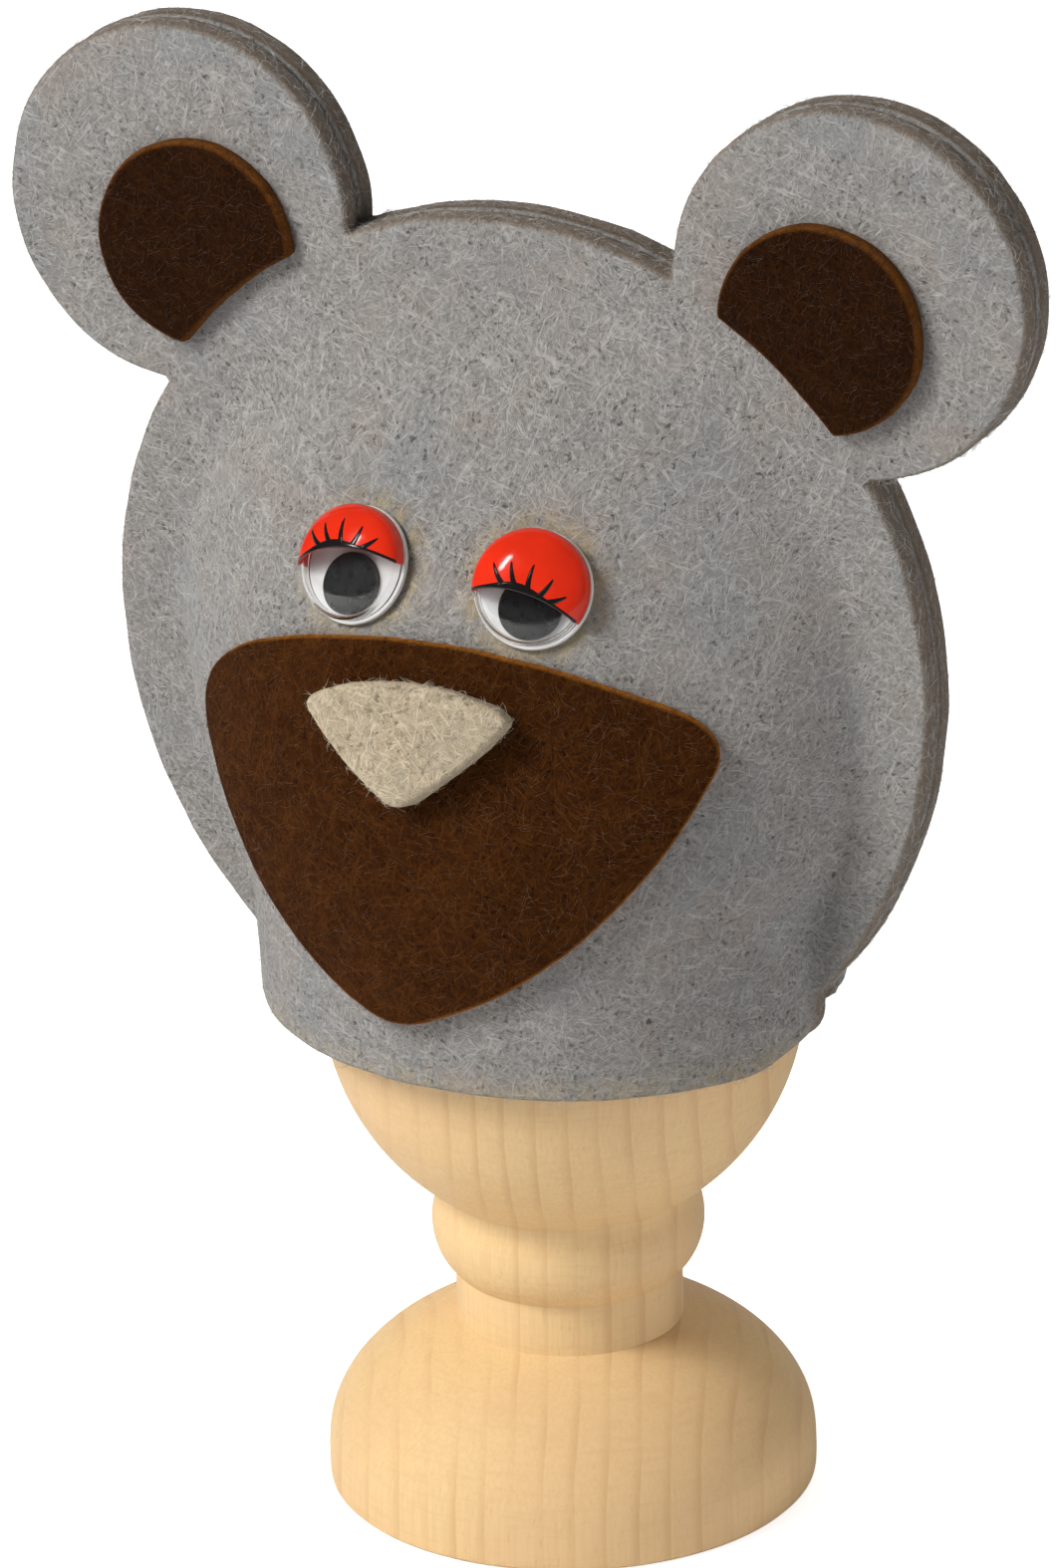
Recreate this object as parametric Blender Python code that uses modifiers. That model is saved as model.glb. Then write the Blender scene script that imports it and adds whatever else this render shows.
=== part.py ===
"""Felt bear-head egg cosy on a turned wooden egg cup.

Metres, +Z up. The origin is the centre of the cup's underside, and the bear's face looks along -Y.
The two felt panels of the head are glued together around a flat rim and leave a pouch open at the
bottom, which slips over the cup. Everything flat is outlined in the XZ plane, seen from the front.
"""

import math

import bmesh
import bpy
from mathutils import Matrix, Vector

MM = 0.001
GAP = 0.3 * MM

# The cosy's mouth is a little wider than the cup, and it hangs slightly off centre
COSY_X = -2.8 * MM

# Bear head: a disc, longer below its middle, with two round ears and a short skirt whose bottom edge
# slopes up to the left. Its own places are counted from its middle
HEAD_RADIUS = 42.9 * MM
CHIN_RADIUS = 45.8 * MM
HEAD_Z = 88.1 * MM
EAR_RADIUS = 18.1 * MM
EAR_X = 35.2 * MM
EAR_Z = 128.1 * MM
SKIRT_Z = 51.0 * MM
SKIRT_LEFT = 29.2 * MM
SKIRT_RIGHT = 31.2 * MM
SKIRT_CORNER = 3.5 * MM
SKIRT_SLOPE = 1.2 * MM

# Felt
FELT = 2.8 * MM
THIN_FELT = 1.4 * MM
SEAM_GAP = 0.2 * MM
RIM_FACE = FELT + SEAM_GAP / 2

# Pouch: a half tube round the cup at the skirt, which flattens towards the top of the head. The tube
# sits TUBE_SHIFT to the right, nearer the cup's axis, and its round section turns squarer higher up
TUBE_HALF_DEPTH = 27.2 * MM
TUBE_HALF_WIDTH = 28.7 * MM
TUBE_BLEND = 2.0 * MM
TUBE_TOP_Z = 62.0 * MM
TUBE_SHIFT = 1.85 * MM
SHIFT_RISE = 38.0 * MM
TUBE_ROUNDNESS = 0.5
HEAD_ROUNDNESS = 0.77
ROUNDNESS_START = 7.0 * MM
ROUNDNESS_RISE = 36.0 * MM
POUCH_TOP_Z = 120.0 * MM
POUCH_RADIUS = 36.7 * MM
FLATTENING = 1.8
RIM_BLEND = 1.6 * MM
POUCH_FOOT = 1.06
INNER_COLUMNS = 0.62
COLUMN_TURN = 76.0
PANEL_CELLS = (30, 26)
MUZZLE_CELLS = (25, 15)
NOSE_CELLS = (8, 5)

# Muzzle and nose: sharp corners in mm (tip, right, left), how far the side after each corner bows out
# as a share of its length, and the share of the sides' ends that rounding takes from each corner
MUZZLE = {
    "corners": ((-0.9, 58.0), (27.2, 87.1), (-28.9, 86.2)),
    "bows": (0.13, 0.13, 0.115),
    "rounds": (0.07, 0.09, 0.16),
}
NOSE = {
    "corners": ((-0.4, 79.3), (9.3, 88.4), (-11.1, 87.3)),
    "bows": (0.04, 0.12, 0.04),
    "rounds": (0.10, 0.10, 0.10),
}
CORNER_STEPS = 5
SIDE_STEPS = 7
INNER_EAR_RADIUS = 10.3 * MM
INNER_EAR_X = 32.8 * MM
INNER_EAR_Z = 124.9 * MM
INNER_EAR_BITE = HEAD_RADIUS + 0.4 * MM
SHEET_MARGIN = 3.0 * MM

# Wiggle eyes: discs with a clear dome and a loose pupil. Each eye has its place on the face in
# mm, the roll of its lid and of its pupil in degrees, anticlockwise from the front, and the height in
# mm of its lid's arched edge above the middle of the eye
EYES = {
    "left": {"place": (-10.3, 99.1), "lid_roll": 13.0, "pupil_roll": 13.0, "lid_line": 1.1},
    "right": {"place": (8.3, 99.45), "lid_roll": -12.0, "pupil_roll": 2.0, "lid_line": -0.8},
}
EYE_GAP = 0.08 * MM
DISC_RADIUS = 5.8 * MM
DISC_DEPTH = 0.4 * MM
DISC_EDGE = 0.25 * MM
DOME_RADIUS = 5.5 * MM
DOME_SIDE = 1.0 * MM
DOME_HEIGHT = 3.2 * MM
DOME_WALL = 0.35 * MM
LID_WALL = 0.12 * MM
LID_LINE_RADIUS = 13.0 * MM
LID_CUTTER_SIDES = 96
PUPIL_RADIUS = 3.05 * MM
PUPIL_DEPTH = 0.6 * MM
PUPIL_DROP = 1.95 * MM
DOME_RINGS = 6
EYE_STEPS = 32

# Egg cup, turned in one piece
CUP_HEIGHT = 67.0 * MM
FOOT_RADIUS = 24.2 * MM
FOOT_DOME_Z = 4.0 * MM
FOOT_DOME_RISE = 14.9 * MM
FOOT_EDGE = 0.9 * MM
NECK_RADIUS = 11.2 * MM
BEAD_Z = 27.5 * MM
BEAD_CORE = 8.5 * MM
BEAD_BULGE = 5.0 * MM
BEAD_HALF_HEIGHT = 6.0 * MM
BEAD_START = 28.0
GROOVE_RADIUS = 12.9 * MM
BOWL_RADIUS = 23.8 * MM
BOWL_WIDEST_Z = 52.0 * MM
BOWL_DROP = 24.5 * MM
RIM_OUTER = 22.6 * MM
RIM_INNER = 19.8 * MM
RIM_ROUND = 1.5 * MM
BOWL_DEPTH = 26.0 * MM
CUP_STEPS = 48

COLLECTION = "bear_egg_cosy"
CUTTERS = "cutters"


def clear_scene():
    for obj in list(bpy.data.objects):
        bpy.data.objects.remove(obj)


def new_collection(name):
    collection = bpy.data.collections.new(name)
    bpy.context.scene.collection.children.link(collection)
    return collection


def material(name, color, roughness, transmission=0.0):
    made = bpy.data.materials.new(name)
    made.use_nodes = True
    shader = made.node_tree.nodes["Principled BSDF"]
    shader.inputs["Base Color"].default_value = (*color, 1.0)
    shader.inputs["Roughness"].default_value = roughness
    shader.inputs["Metallic"].default_value = 0.0
    shader.inputs["Transmission Weight"].default_value = transmission
    return made


def make_materials():
    return {
        "grey_felt": material("grey_felt", (0.32, 0.305, 0.29), 0.95),
        "brown_felt": material("brown_felt", (0.06, 0.025, 0.008), 0.95),
        "beige_felt": material("beige_felt", (0.47, 0.40, 0.29), 0.95),
        "wood": material("wood", (0.72, 0.51, 0.30), 0.5),
        "white_plastic": material("white_plastic", (0.85, 0.85, 0.83), 0.3),
        "clear_plastic": material("clear_plastic", (1.0, 1.0, 1.0), 0.05, transmission=1.0),
        "red_print": material("red_print", (0.75, 0.02, 0.005), 0.12),
        "black_plastic": material("black_plastic", (0.012, 0.012, 0.012), 0.3),
    }


def add_object(name, mesh, collection, surface=None):
    obj = bpy.data.objects.new(name, mesh)
    collection.objects.link(obj)
    if surface is not None:
        mesh.materials.append(surface)
    return obj


def smooth(mesh, angle=35.0):
    mesh.shade_smooth()
    mesh.set_sharp_from_angle(angle=math.radians(angle))


def arc(center, radii, start, end, steps):
    """Points on an elliptical arc from one angle to another, in degrees, both ends included."""
    points = []
    for step in range(steps + 1):
        angle = math.radians(start + (end - start) * step / steps)
        x = center[0] + radii[0] * math.cos(angle)
        z = center[1] + radii[1] * math.sin(angle)
        points.append((x, z))
    return points


def crossing(center, radius, other_radius):
    """Half the angle that a circle about the head's centre cuts off another circle, seen from each
    centre, and the direction from the head's centre to the other centre, all in degrees."""
    distance = math.hypot(center[0], center[1] - HEAD_Z)
    along = (distance**2 + other_radius**2 - radius**2) / (2 * distance)
    at_head = math.degrees(math.acos(along / other_radius))
    at_circle = math.degrees(math.acos((distance - along) / radius))
    direction = math.degrees(math.atan2(center[1] - HEAD_Z, center[0]))
    return at_head, at_circle, direction


# Flat outlines, anticlockwise from the front


def head_outline():
    """Head disc, ears and skirt as one outline: the right half, then the left."""
    right = skirt_corner(SKIRT_RIGHT, SKIRT_CORNER) + half_head(SKIRT_RIGHT)
    left = skirt_corner(SKIRT_LEFT, SKIRT_CORNER - SKIRT_SLOPE) + half_head(SKIRT_LEFT)
    return right + [(0.0, HEAD_Z + HEAD_RADIUS)] + [(-x, z) for x, z in reversed(left)]


def skirt_corner(side, radius):
    """The right one: the side always ends at the same height, so a smaller radius lifts the bottom."""
    corner = (side - radius, SKIRT_Z + SKIRT_CORNER)
    return arc(corner, (radius, radius), -90, 0, 4)


def half_head(side):
    """The right half, from the top of the skirt's side to just short of the crown."""
    at_head, at_ear, direction = crossing((EAR_X, EAR_Z), EAR_RADIUS, HEAD_RADIUS)
    skirt_angle = -math.degrees(math.acos(side / HEAD_RADIUS))
    head = (0.0, HEAD_Z)
    head_radii = (HEAD_RADIUS, HEAD_RADIUS)
    ear_start = direction - 180 + at_ear
    ear_end = direction + 180 - at_ear
    half = arc(head, (HEAD_RADIUS, CHIN_RADIUS), skirt_angle, 0, 13)
    half += arc(head, head_radii, 0, direction - at_head, 6)[1:]
    half += arc((EAR_X, EAR_Z), (EAR_RADIUS, EAR_RADIUS), ear_start, ear_end, 26)[1:]
    half += arc(head, head_radii, direction + at_head, 90, 6)[1:-1]
    return half


def inner_ear_outline(side):
    """A round patch whose lower corner is bitten off along the head's own circle."""
    center = (INNER_EAR_X, INNER_EAR_Z)
    at_head, at_patch, direction = crossing(center, INNER_EAR_RADIUS, INNER_EAR_BITE)
    radii = (INNER_EAR_RADIUS, INNER_EAR_RADIUS)
    start = direction - 180 + at_patch
    points = arc(center, radii, start, direction + 180 - at_patch, 24)
    bite = (INNER_EAR_BITE, INNER_EAR_BITE)
    points += arc((0.0, HEAD_Z), bite, direction + at_head, direction - at_head, 6)[1:-1]
    return [(side * x, z) for x, z in points][::side]


def quadratic(start, control, end, t):
    return start * (1 - t) ** 2 + control * 2 * t * (1 - t) + end * t**2


def bowed(start, end, bow, t):
    """A point along a side that bows outwards by bow times its length."""
    side = end - start
    outward = Vector((side.y, -side.x))
    return quadratic(start, (start + end) / 2 + outward * 2 * bow, end, t)


def rounded_triangle(shape):
    """A triangle pointing down with bowed sides and round corners."""
    corners = [Vector(corner) * MM for corner in shape["corners"]]
    bows = shape["bows"]
    rounds = shape["rounds"]
    points = []
    for index, corner in enumerate(corners):
        after = (index + 1) % 3
        start = bowed(corners[index - 1], corner, bows[index - 1], 1 - rounds[index])
        end = bowed(corner, corners[after], bows[index], rounds[index])
        points += [quadratic(start, corner, end, step / CORNER_STEPS) for step in range(CORNER_STEPS + 1)]
        straight = 1 - rounds[index] - rounds[after]
        for step in range(1, SIDE_STEPS):
            share = rounds[index] + straight * step / SIDE_STEPS
            points.append(bowed(corner, corners[after], bows[index], share))
    return [tuple(point) for point in points]


# Depth of the face: how far the felt's outer face stands from the seam plane


def blend_max(a, b, softness):
    return (a + b + math.hypot(a - b, softness)) / 2


def ease(start, rise, value):
    """From 0 at start to 1 at start + rise, level at both ends."""
    share = min(1.0, max(0.0, (value - start) / rise))
    return share * share * (3 - 2 * share)


def pouch_middle(z):
    return TUBE_SHIFT * (1 - ease(SKIRT_Z, SHIFT_RISE, z))


def pouch_half_width(z):
    chord = math.sqrt(max(0.0, POUCH_RADIUS**2 - (z - HEAD_Z) ** 2))
    return blend_max(chord, TUBE_HALF_WIDTH, TUBE_BLEND)


def face_depth(x, z):
    rise = max(0.0, (z - TUBE_TOP_Z) / (POUCH_TOP_Z - TUBE_TOP_Z))
    middle = max(0.0, RIM_FACE + (TUBE_HALF_DEPTH - RIM_FACE) * (1 - rise**FLATTENING))
    squarer = ease(SKIRT_Z + ROUNDNESS_START, ROUNDNESS_RISE, z)
    roundness = TUBE_ROUNDNESS + (HEAD_ROUNDNESS - TUBE_ROUNDNESS) * squarer
    across = 1 - ((x - pouch_middle(z)) / pouch_half_width(z)) ** 2
    share = across**roundness if across > 0 else across
    bulge = middle * share - RIM_FACE
    return RIM_FACE + blend_max(bulge, 0.0, RIM_BLEND)


def face_normal(x, z):
    step = 0.2 * MM
    slope_x = (face_depth(x + step, z) - face_depth(x - step, z)) / (2 * step)
    slope_z = (face_depth(x, z + step) - face_depth(x, z - step)) / (2 * step)
    return Vector((-slope_x, -1.0, -slope_z)).normalized()


def face_point(x, z, lift=0.0):
    return Vector((x, -face_depth(x, z), z)) + face_normal(x, z) * lift


# Felt pieces: a gridded sheet that follows the face, thickened and trimmed to its outline


def outline_slab(name, points, depth, cosy, collection, surface=None):
    """The outline as a flat slab in the XZ plane, depth thick."""
    curve = bpy.data.curves.new(name, "CURVE")
    curve.dimensions = "2D"
    curve.fill_mode = "BOTH"
    curve.extrude = depth / 2
    spline = curve.splines.new("POLY")
    spline.points.add(len(points) - 1)
    for point, (x, z) in zip(spline.points, points):
        point.co = (x, z, 0.0, 1.0)
    spline.use_cyclic_u = True
    obj = add_object(name, curve, collection, surface)
    obj.parent = cosy
    obj.rotation_euler = (math.pi / 2, 0.0, 0.0)
    return obj


def outline_cutter(name, points, cosy, cutters):
    """A prism through the whole head along Y whose cross-section is the outline."""
    guide = outline_slab(name + "_guide", points, 2 * HEAD_RADIUS, cosy, cutters)
    bpy.context.view_layer.update()
    graph = bpy.context.evaluated_depsgraph_get()
    mesh = bpy.data.meshes.new_from_object(guide.evaluated_get(graph))
    cutter = add_object(name, mesh, cutters)
    cutter.parent = cosy
    cutter.matrix_world = guide.matrix_world
    bpy.data.objects.remove(guide)
    prism = bmesh.new()
    prism.from_mesh(mesh)
    bmesh.ops.remove_doubles(prism, verts=prism.verts, dist=0.001 * MM)
    bmesh.ops.recalc_face_normals(prism, faces=prism.faces)
    prism.to_mesh(mesh)
    prism.free()
    hide(cutter)
    return cutter


def hide(cutter):
    cutter.hide_render = True
    cutter.display_type = "WIRE"


def cut(obj, operation, cutter):
    boolean = obj.modifiers.new(cutter.name, "BOOLEAN")
    boolean.operation = operation
    boolean.solver = "EXACT"
    boolean.object = cutter


def column_place(u, z, reach):
    """Columns follow the pouch's side, stand close together where it is steep, and wider beyond."""
    foot = POUCH_FOOT * pouch_half_width(z)
    inner = min(abs(u) / INNER_COLUMNS, 1.0)
    outer = max(0.0, abs(u) - INNER_COLUMNS) / (1 - INNER_COLUMNS)
    turn = math.radians(COLUMN_TURN)
    x = foot * math.sin(inner * turn) / math.sin(turn) + outer * (reach - foot)
    return math.copysign(x, u) + pouch_middle(z) * (1 - outer)


def felt_sheet(name, cosy, parts, surface, cutter, box, cells, lift, thickness):
    """box is (reach in x, low z, high z) and cells the grid's columns and rows. The sheet is laid
    lift above the panel's outer face and thickened outwards, or inwards if thickness is negative."""
    reach, low, high = box
    sheet = bmesh.new()
    bmesh.ops.create_grid(sheet, x_segments=cells[0], y_segments=cells[1], size=1.0)
    for vert in sheet.verts:
        z = low + (high - low) * (vert.co.y + 1) / 2
        x = column_place(vert.co.x, z, reach) if reach > POUCH_RADIUS else vert.co.x * reach
        vert.co = face_point(x, z, lift)
    mesh = bpy.data.meshes.new(name)
    sheet.to_mesh(mesh)
    sheet.free()
    obj = add_object(name, mesh, parts, surface)
    obj.parent = cosy
    solidify = obj.modifiers.new("thickness", "SOLIDIFY")
    solidify.thickness = abs(thickness)
    solidify.offset = math.copysign(1.0, thickness)
    cut(obj, "INTERSECT", cutter)
    smooth(mesh)
    return obj


def turn_to_back(mesh):
    """Mirrors a front piece through the seam plane."""
    mirrored = bmesh.new()
    mirrored.from_mesh(mesh)
    for vert in mirrored.verts:
        vert.co.y = -vert.co.y
    bmesh.ops.reverse_faces(mirrored, faces=mirrored.faces)
    mirrored.to_mesh(mesh)
    mirrored.free()


def make_panels(cosy, parts, cutters, surfaces):
    felt = surfaces["grey_felt"]
    cutter = outline_cutter("head_outline", head_outline(), cosy, cutters)
    box = (EAR_X + EAR_RADIUS + SHEET_MARGIN, SKIRT_Z - SHEET_MARGIN, EAR_Z + EAR_RADIUS + SHEET_MARGIN)
    felt_sheet("front_panel", cosy, parts, felt, cutter, box, PANEL_CELLS, 0.0, -FELT)
    back = felt_sheet("back_panel", cosy, parts, felt, cutter, box, PANEL_CELLS, 0.0, -FELT)
    turn_to_back(back.data)


def sheet_box(outline):
    reach = max(abs(x) for x, z in outline)
    heights = [z for x, z in outline]
    return reach + SHEET_MARGIN, min(heights) - SHEET_MARGIN, max(heights) + SHEET_MARGIN


def make_muzzle_and_nose(cosy, parts, cutters, surfaces):
    muzzle = rounded_triangle(MUZZLE)
    cutter = outline_cutter("muzzle_outline", muzzle, cosy, cutters)
    felt = surfaces["brown_felt"]
    box = sheet_box(muzzle)
    felt_sheet("muzzle", cosy, parts, felt, cutter, box, MUZZLE_CELLS, GAP, THIN_FELT)

    nose = rounded_triangle(NOSE)
    cutter = outline_cutter("nose_outline", nose, cosy, cutters)
    felt = surfaces["beige_felt"]
    lift = 2 * GAP + THIN_FELT
    felt_sheet("nose", cosy, parts, felt, cutter, sheet_box(nose), NOSE_CELLS, lift, FELT)


def make_inner_ears(cosy, parts, surfaces):
    for side, word in ((-1, "left"), (1, "right")):
        outline = inner_ear_outline(side)
        name = "inner_ear_" + word
        patch = outline_slab(name, outline, THIN_FELT, cosy, parts, surfaces["brown_felt"])
        ear_face = max(face_depth(x, z) for x, z in outline)
        patch.location.y = -(ear_face + GAP + THIN_FELT / 2)


# Wiggle eyes, built about their own axis: +Z outwards, +Y up the face


def turned(name, profile, steps, collection, surface):
    """A profile in the XZ plane, screwed about the Z axis."""
    mesh = bpy.data.meshes.new(name)
    edges = [(index, index + 1) for index in range(len(profile) - 1)]
    mesh.from_pydata([(x, 0.0, z) for x, z in profile], edges, [])
    obj = add_object(name, mesh, collection, surface)
    screw = obj.modifiers.new("turn", "SCREW")
    screw.steps = steps
    screw.render_steps = steps
    screw.use_merge_vertices = True
    screw.merge_threshold = 0.01 * MM
    return obj


def dome_profile(radius, side, height, steps):
    """From the middle of the dome down to the foot of its straight side."""
    crown = arc((0.0, side), (radius, height - side), 90, 0, steps)
    crown[0] = (0.0, height)
    return crown + [(radius, 0.0)]


def shell_profile(outer, inner, wall):
    """A dome open at its foot: outer face down, inner face up."""
    radius, side, height = outer
    down = dome_profile(radius, side, height, DOME_RINGS)
    radius, side, height = inner
    up = dome_profile(radius - wall, side, height - wall, DOME_RINGS)
    return down + up[::-1]


def eye_matrix(x, z, roll):
    """Stands on the face at (x, z), turned by roll degrees, anticlockwise from the front."""
    outward = face_normal(x, z)
    right = Vector((0.0, 0.0, 1.0)).cross(outward).normalized()
    turn = Matrix((right, outward.cross(right), outward)).transposed()
    turn = turn @ Matrix.Rotation(math.radians(roll), 3, "Z")
    return Matrix.Translation(face_point(x, z, GAP)) @ turn.to_4x4()


def add_empty(name, parent, matrix, parts):
    empty = add_object(name, None, parts)
    empty.empty_display_size = DISC_RADIUS
    empty.parent = parent
    empty.matrix_basis = matrix
    return empty


def stand_on(obj, empty, height):
    obj.parent = empty
    obj.location.z = height


def make_eye(word, eye, cosy, parts, cutters, surfaces):
    x, z = (value * MM for value in eye["place"])
    mount = add_empty("eye_" + word, cosy, eye_matrix(x, z, eye["lid_roll"]), parts)

    edge = arc((DISC_RADIUS - DISC_EDGE, DISC_DEPTH - DISC_EDGE), (DISC_EDGE, DISC_EDGE), 90, 0, 3)
    profile = [(0.0, DISC_DEPTH)] + edge + [(DISC_RADIUS, 0.0), (0.0, 0.0)]
    disc = turned("eye_disc_" + word, profile, EYE_STEPS, parts, surfaces["white_plastic"])
    stand_on(disc, mount, 0.0)

    size = (DOME_RADIUS, DOME_SIDE, DOME_HEIGHT)
    profile = shell_profile(size, size, DOME_WALL)
    dome = turned("eye_dome_" + word, profile, EYE_STEPS, parts, surfaces["clear_plastic"])
    stand_on(dome, mount, DISC_DEPTH + EYE_GAP)

    outer = (DOME_RADIUS + EYE_GAP + LID_WALL, DOME_SIDE, DOME_HEIGHT + EYE_GAP + LID_WALL)
    profile = shell_profile(outer, outer, LID_WALL)
    lid = turned("eyelid_" + word, profile, EYE_STEPS, parts, surfaces["red_print"])
    stand_on(lid, mount, DISC_DEPTH + EYE_GAP)
    opening = add_lid_cutter(word, eye["lid_line"] * MM, cutters)
    stand_on(opening, mount, 0.0)
    cut(lid, "DIFFERENCE", opening)

    axis = add_empty("pupil_axis_" + word, cosy, eye_matrix(x, z, eye["pupil_roll"]), parts)
    profile = [(0.0, PUPIL_DEPTH), (PUPIL_RADIUS, PUPIL_DEPTH), (PUPIL_RADIUS, 0.0), (0.0, 0.0)]
    pupil = turned("pupil_" + word, profile, EYE_STEPS, parts, surfaces["black_plastic"])
    stand_on(pupil, axis, DISC_DEPTH + EYE_GAP)
    pupil.location.y = -PUPIL_DROP


def add_lid_cutter(word, line_y, cutters):
    """A wide cylinder that clears everything below the lid's arched line."""
    mesh = bpy.data.meshes.new("lid_opening_" + word)
    cylinder = bmesh.new()
    place = Matrix.Translation((0.0, line_y - LID_LINE_RADIUS, 0.0))
    bmesh.ops.create_cone(
        cylinder,
        cap_ends=True,
        segments=LID_CUTTER_SIDES,
        radius1=LID_LINE_RADIUS,
        radius2=LID_LINE_RADIUS,
        depth=4 * DOME_HEIGHT,
        matrix=place,
    )
    cylinder.to_mesh(mesh)
    cylinder.free()
    cutter = add_object("lid_opening_" + word, mesh, cutters)
    hide(cutter)
    return cutter


# Egg cup


def make_egg_cup(parts, surfaces):
    rim_z = CUP_HEIGHT - RIM_ROUND
    profile = arc((0.0, rim_z), (RIM_INNER, BOWL_DEPTH - RIM_ROUND), -90, 0, 9)
    profile[0] = (0.0, CUP_HEIGHT - BOWL_DEPTH)
    rim_middle = (RIM_INNER + RIM_OUTER) / 2
    rim_half = (RIM_OUTER - RIM_INNER) / 2
    profile += arc((rim_middle, rim_z), (rim_half, RIM_ROUND), 180, 0, 6)[1:]
    lip = math.degrees(math.acos(RIM_OUTER / BOWL_RADIUS))
    swell = (rim_z - BOWL_WIDEST_Z) / math.sin(math.radians(lip))
    profile += arc((0.0, BOWL_WIDEST_Z), (BOWL_RADIUS, swell), lip, 0, 3)[1:]
    foot_of_bowl = -math.degrees(math.acos(GROOVE_RADIUS / BOWL_RADIUS))
    profile += arc((0.0, BOWL_WIDEST_Z), (BOWL_RADIUS, BOWL_DROP), 0, foot_of_bowl, 7)[1:]
    bead_foot = -math.degrees(math.acos((NECK_RADIUS - BEAD_CORE) / BEAD_BULGE))
    profile += arc((BEAD_CORE, BEAD_Z), (BEAD_BULGE, BEAD_HALF_HEIGHT), BEAD_START, bead_foot, 6)
    dome_start = math.degrees(math.acos(NECK_RADIUS / FOOT_RADIUS))
    profile += arc((0.0, FOOT_DOME_Z), (FOOT_RADIUS, FOOT_DOME_RISE), dome_start, 0, 8)
    edge = (FOOT_RADIUS - FOOT_EDGE, FOOT_EDGE)
    profile += arc(edge, (FOOT_EDGE, FOOT_EDGE), 0, -90, 3)
    profile.append((0.0, 0.0))
    cup = turned("egg_cup", profile, CUP_STEPS, parts, surfaces["wood"])
    smooth(cup.data)


def main():
    clear_scene()
    parts = new_collection(COLLECTION)
    cutters = new_collection(CUTTERS)
    surfaces = make_materials()
    make_egg_cup(parts, surfaces)
    cosy = add_empty("cosy", None, Matrix.Translation((COSY_X, 0.0, 0.0)), parts)
    make_panels(cosy, parts, cutters, surfaces)
    make_muzzle_and_nose(cosy, parts, cutters, surfaces)
    make_inner_ears(cosy, parts, surfaces)
    for word, eye in EYES.items():
        make_eye(word, eye, cosy, parts, cutters, surfaces)


main()
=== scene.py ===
"""Looks of the felt bear egg cosy on its turned cup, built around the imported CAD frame.

Metres, +Z up, the bear faces -Y. Each felt piece is a closed mesh over the same outline and the same
face shape as its CAD solid, but fine enough for soft cut edges, dimples and loose fibres. A flat
pattern, measured along the felt, drives both the mesh and the materials, so nothing is stretched.
"""

import math

import bmesh
import bpy
import numpy as np
from mathutils import Matrix, Vector, noise
from mathutils.geometry import delaunay_2d_cdt


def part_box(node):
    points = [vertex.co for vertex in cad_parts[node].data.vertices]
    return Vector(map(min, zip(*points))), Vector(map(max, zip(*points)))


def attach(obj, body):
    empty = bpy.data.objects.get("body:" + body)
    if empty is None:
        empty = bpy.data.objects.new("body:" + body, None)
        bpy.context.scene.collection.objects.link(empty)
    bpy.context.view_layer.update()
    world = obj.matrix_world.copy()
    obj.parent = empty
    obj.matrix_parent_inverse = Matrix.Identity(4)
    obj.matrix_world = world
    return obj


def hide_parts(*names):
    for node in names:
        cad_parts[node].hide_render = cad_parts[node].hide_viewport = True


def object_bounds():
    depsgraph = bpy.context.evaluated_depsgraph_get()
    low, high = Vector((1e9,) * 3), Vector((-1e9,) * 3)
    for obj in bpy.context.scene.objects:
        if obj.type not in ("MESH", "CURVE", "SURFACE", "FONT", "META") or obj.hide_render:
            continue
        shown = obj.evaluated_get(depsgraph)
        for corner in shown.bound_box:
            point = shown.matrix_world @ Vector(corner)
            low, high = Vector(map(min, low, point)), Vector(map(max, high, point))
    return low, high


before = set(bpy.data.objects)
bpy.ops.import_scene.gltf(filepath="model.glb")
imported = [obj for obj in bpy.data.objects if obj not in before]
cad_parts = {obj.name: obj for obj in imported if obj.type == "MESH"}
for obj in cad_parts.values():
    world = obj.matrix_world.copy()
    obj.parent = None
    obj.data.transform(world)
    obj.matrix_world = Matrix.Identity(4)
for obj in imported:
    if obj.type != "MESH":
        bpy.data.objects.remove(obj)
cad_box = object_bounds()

MM = 0.001

# The head's outline, read off the frame where a box gives it
PANEL_LOW, PANEL_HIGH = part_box("front_panel")
COSY_X = (PANEL_LOW.x + PANEL_HIGH.x) / 2
SKIRT_Z = PANEL_LOW.z
EAR_RADIUS = 18.1 * MM
EAR_X = (PANEL_HIGH.x - PANEL_LOW.x) / 2 - EAR_RADIUS
EAR_Z = PANEL_HIGH.z - EAR_RADIUS
HEAD_RADIUS = 42.9 * MM
CHIN_RADIUS = 45.8 * MM
HEAD_Z = 88.1 * MM
SKIRT_LEFT = 29.2 * MM
SKIRT_RIGHT = 31.2 * MM
SKIRT_CORNER = 3.5 * MM
SKIRT_SLOPE = 1.2 * MM
HEM_RISE = 2.4 * MM
HEM_HEIGHT = 7.0 * MM
HEM_START_X = 12.0 * MM
HEM_RUN = 16.0 * MM

# Face shape, the same as the CAD panels
FELT = 2.8 * MM
THIN_FELT = 1.4 * MM
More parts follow.
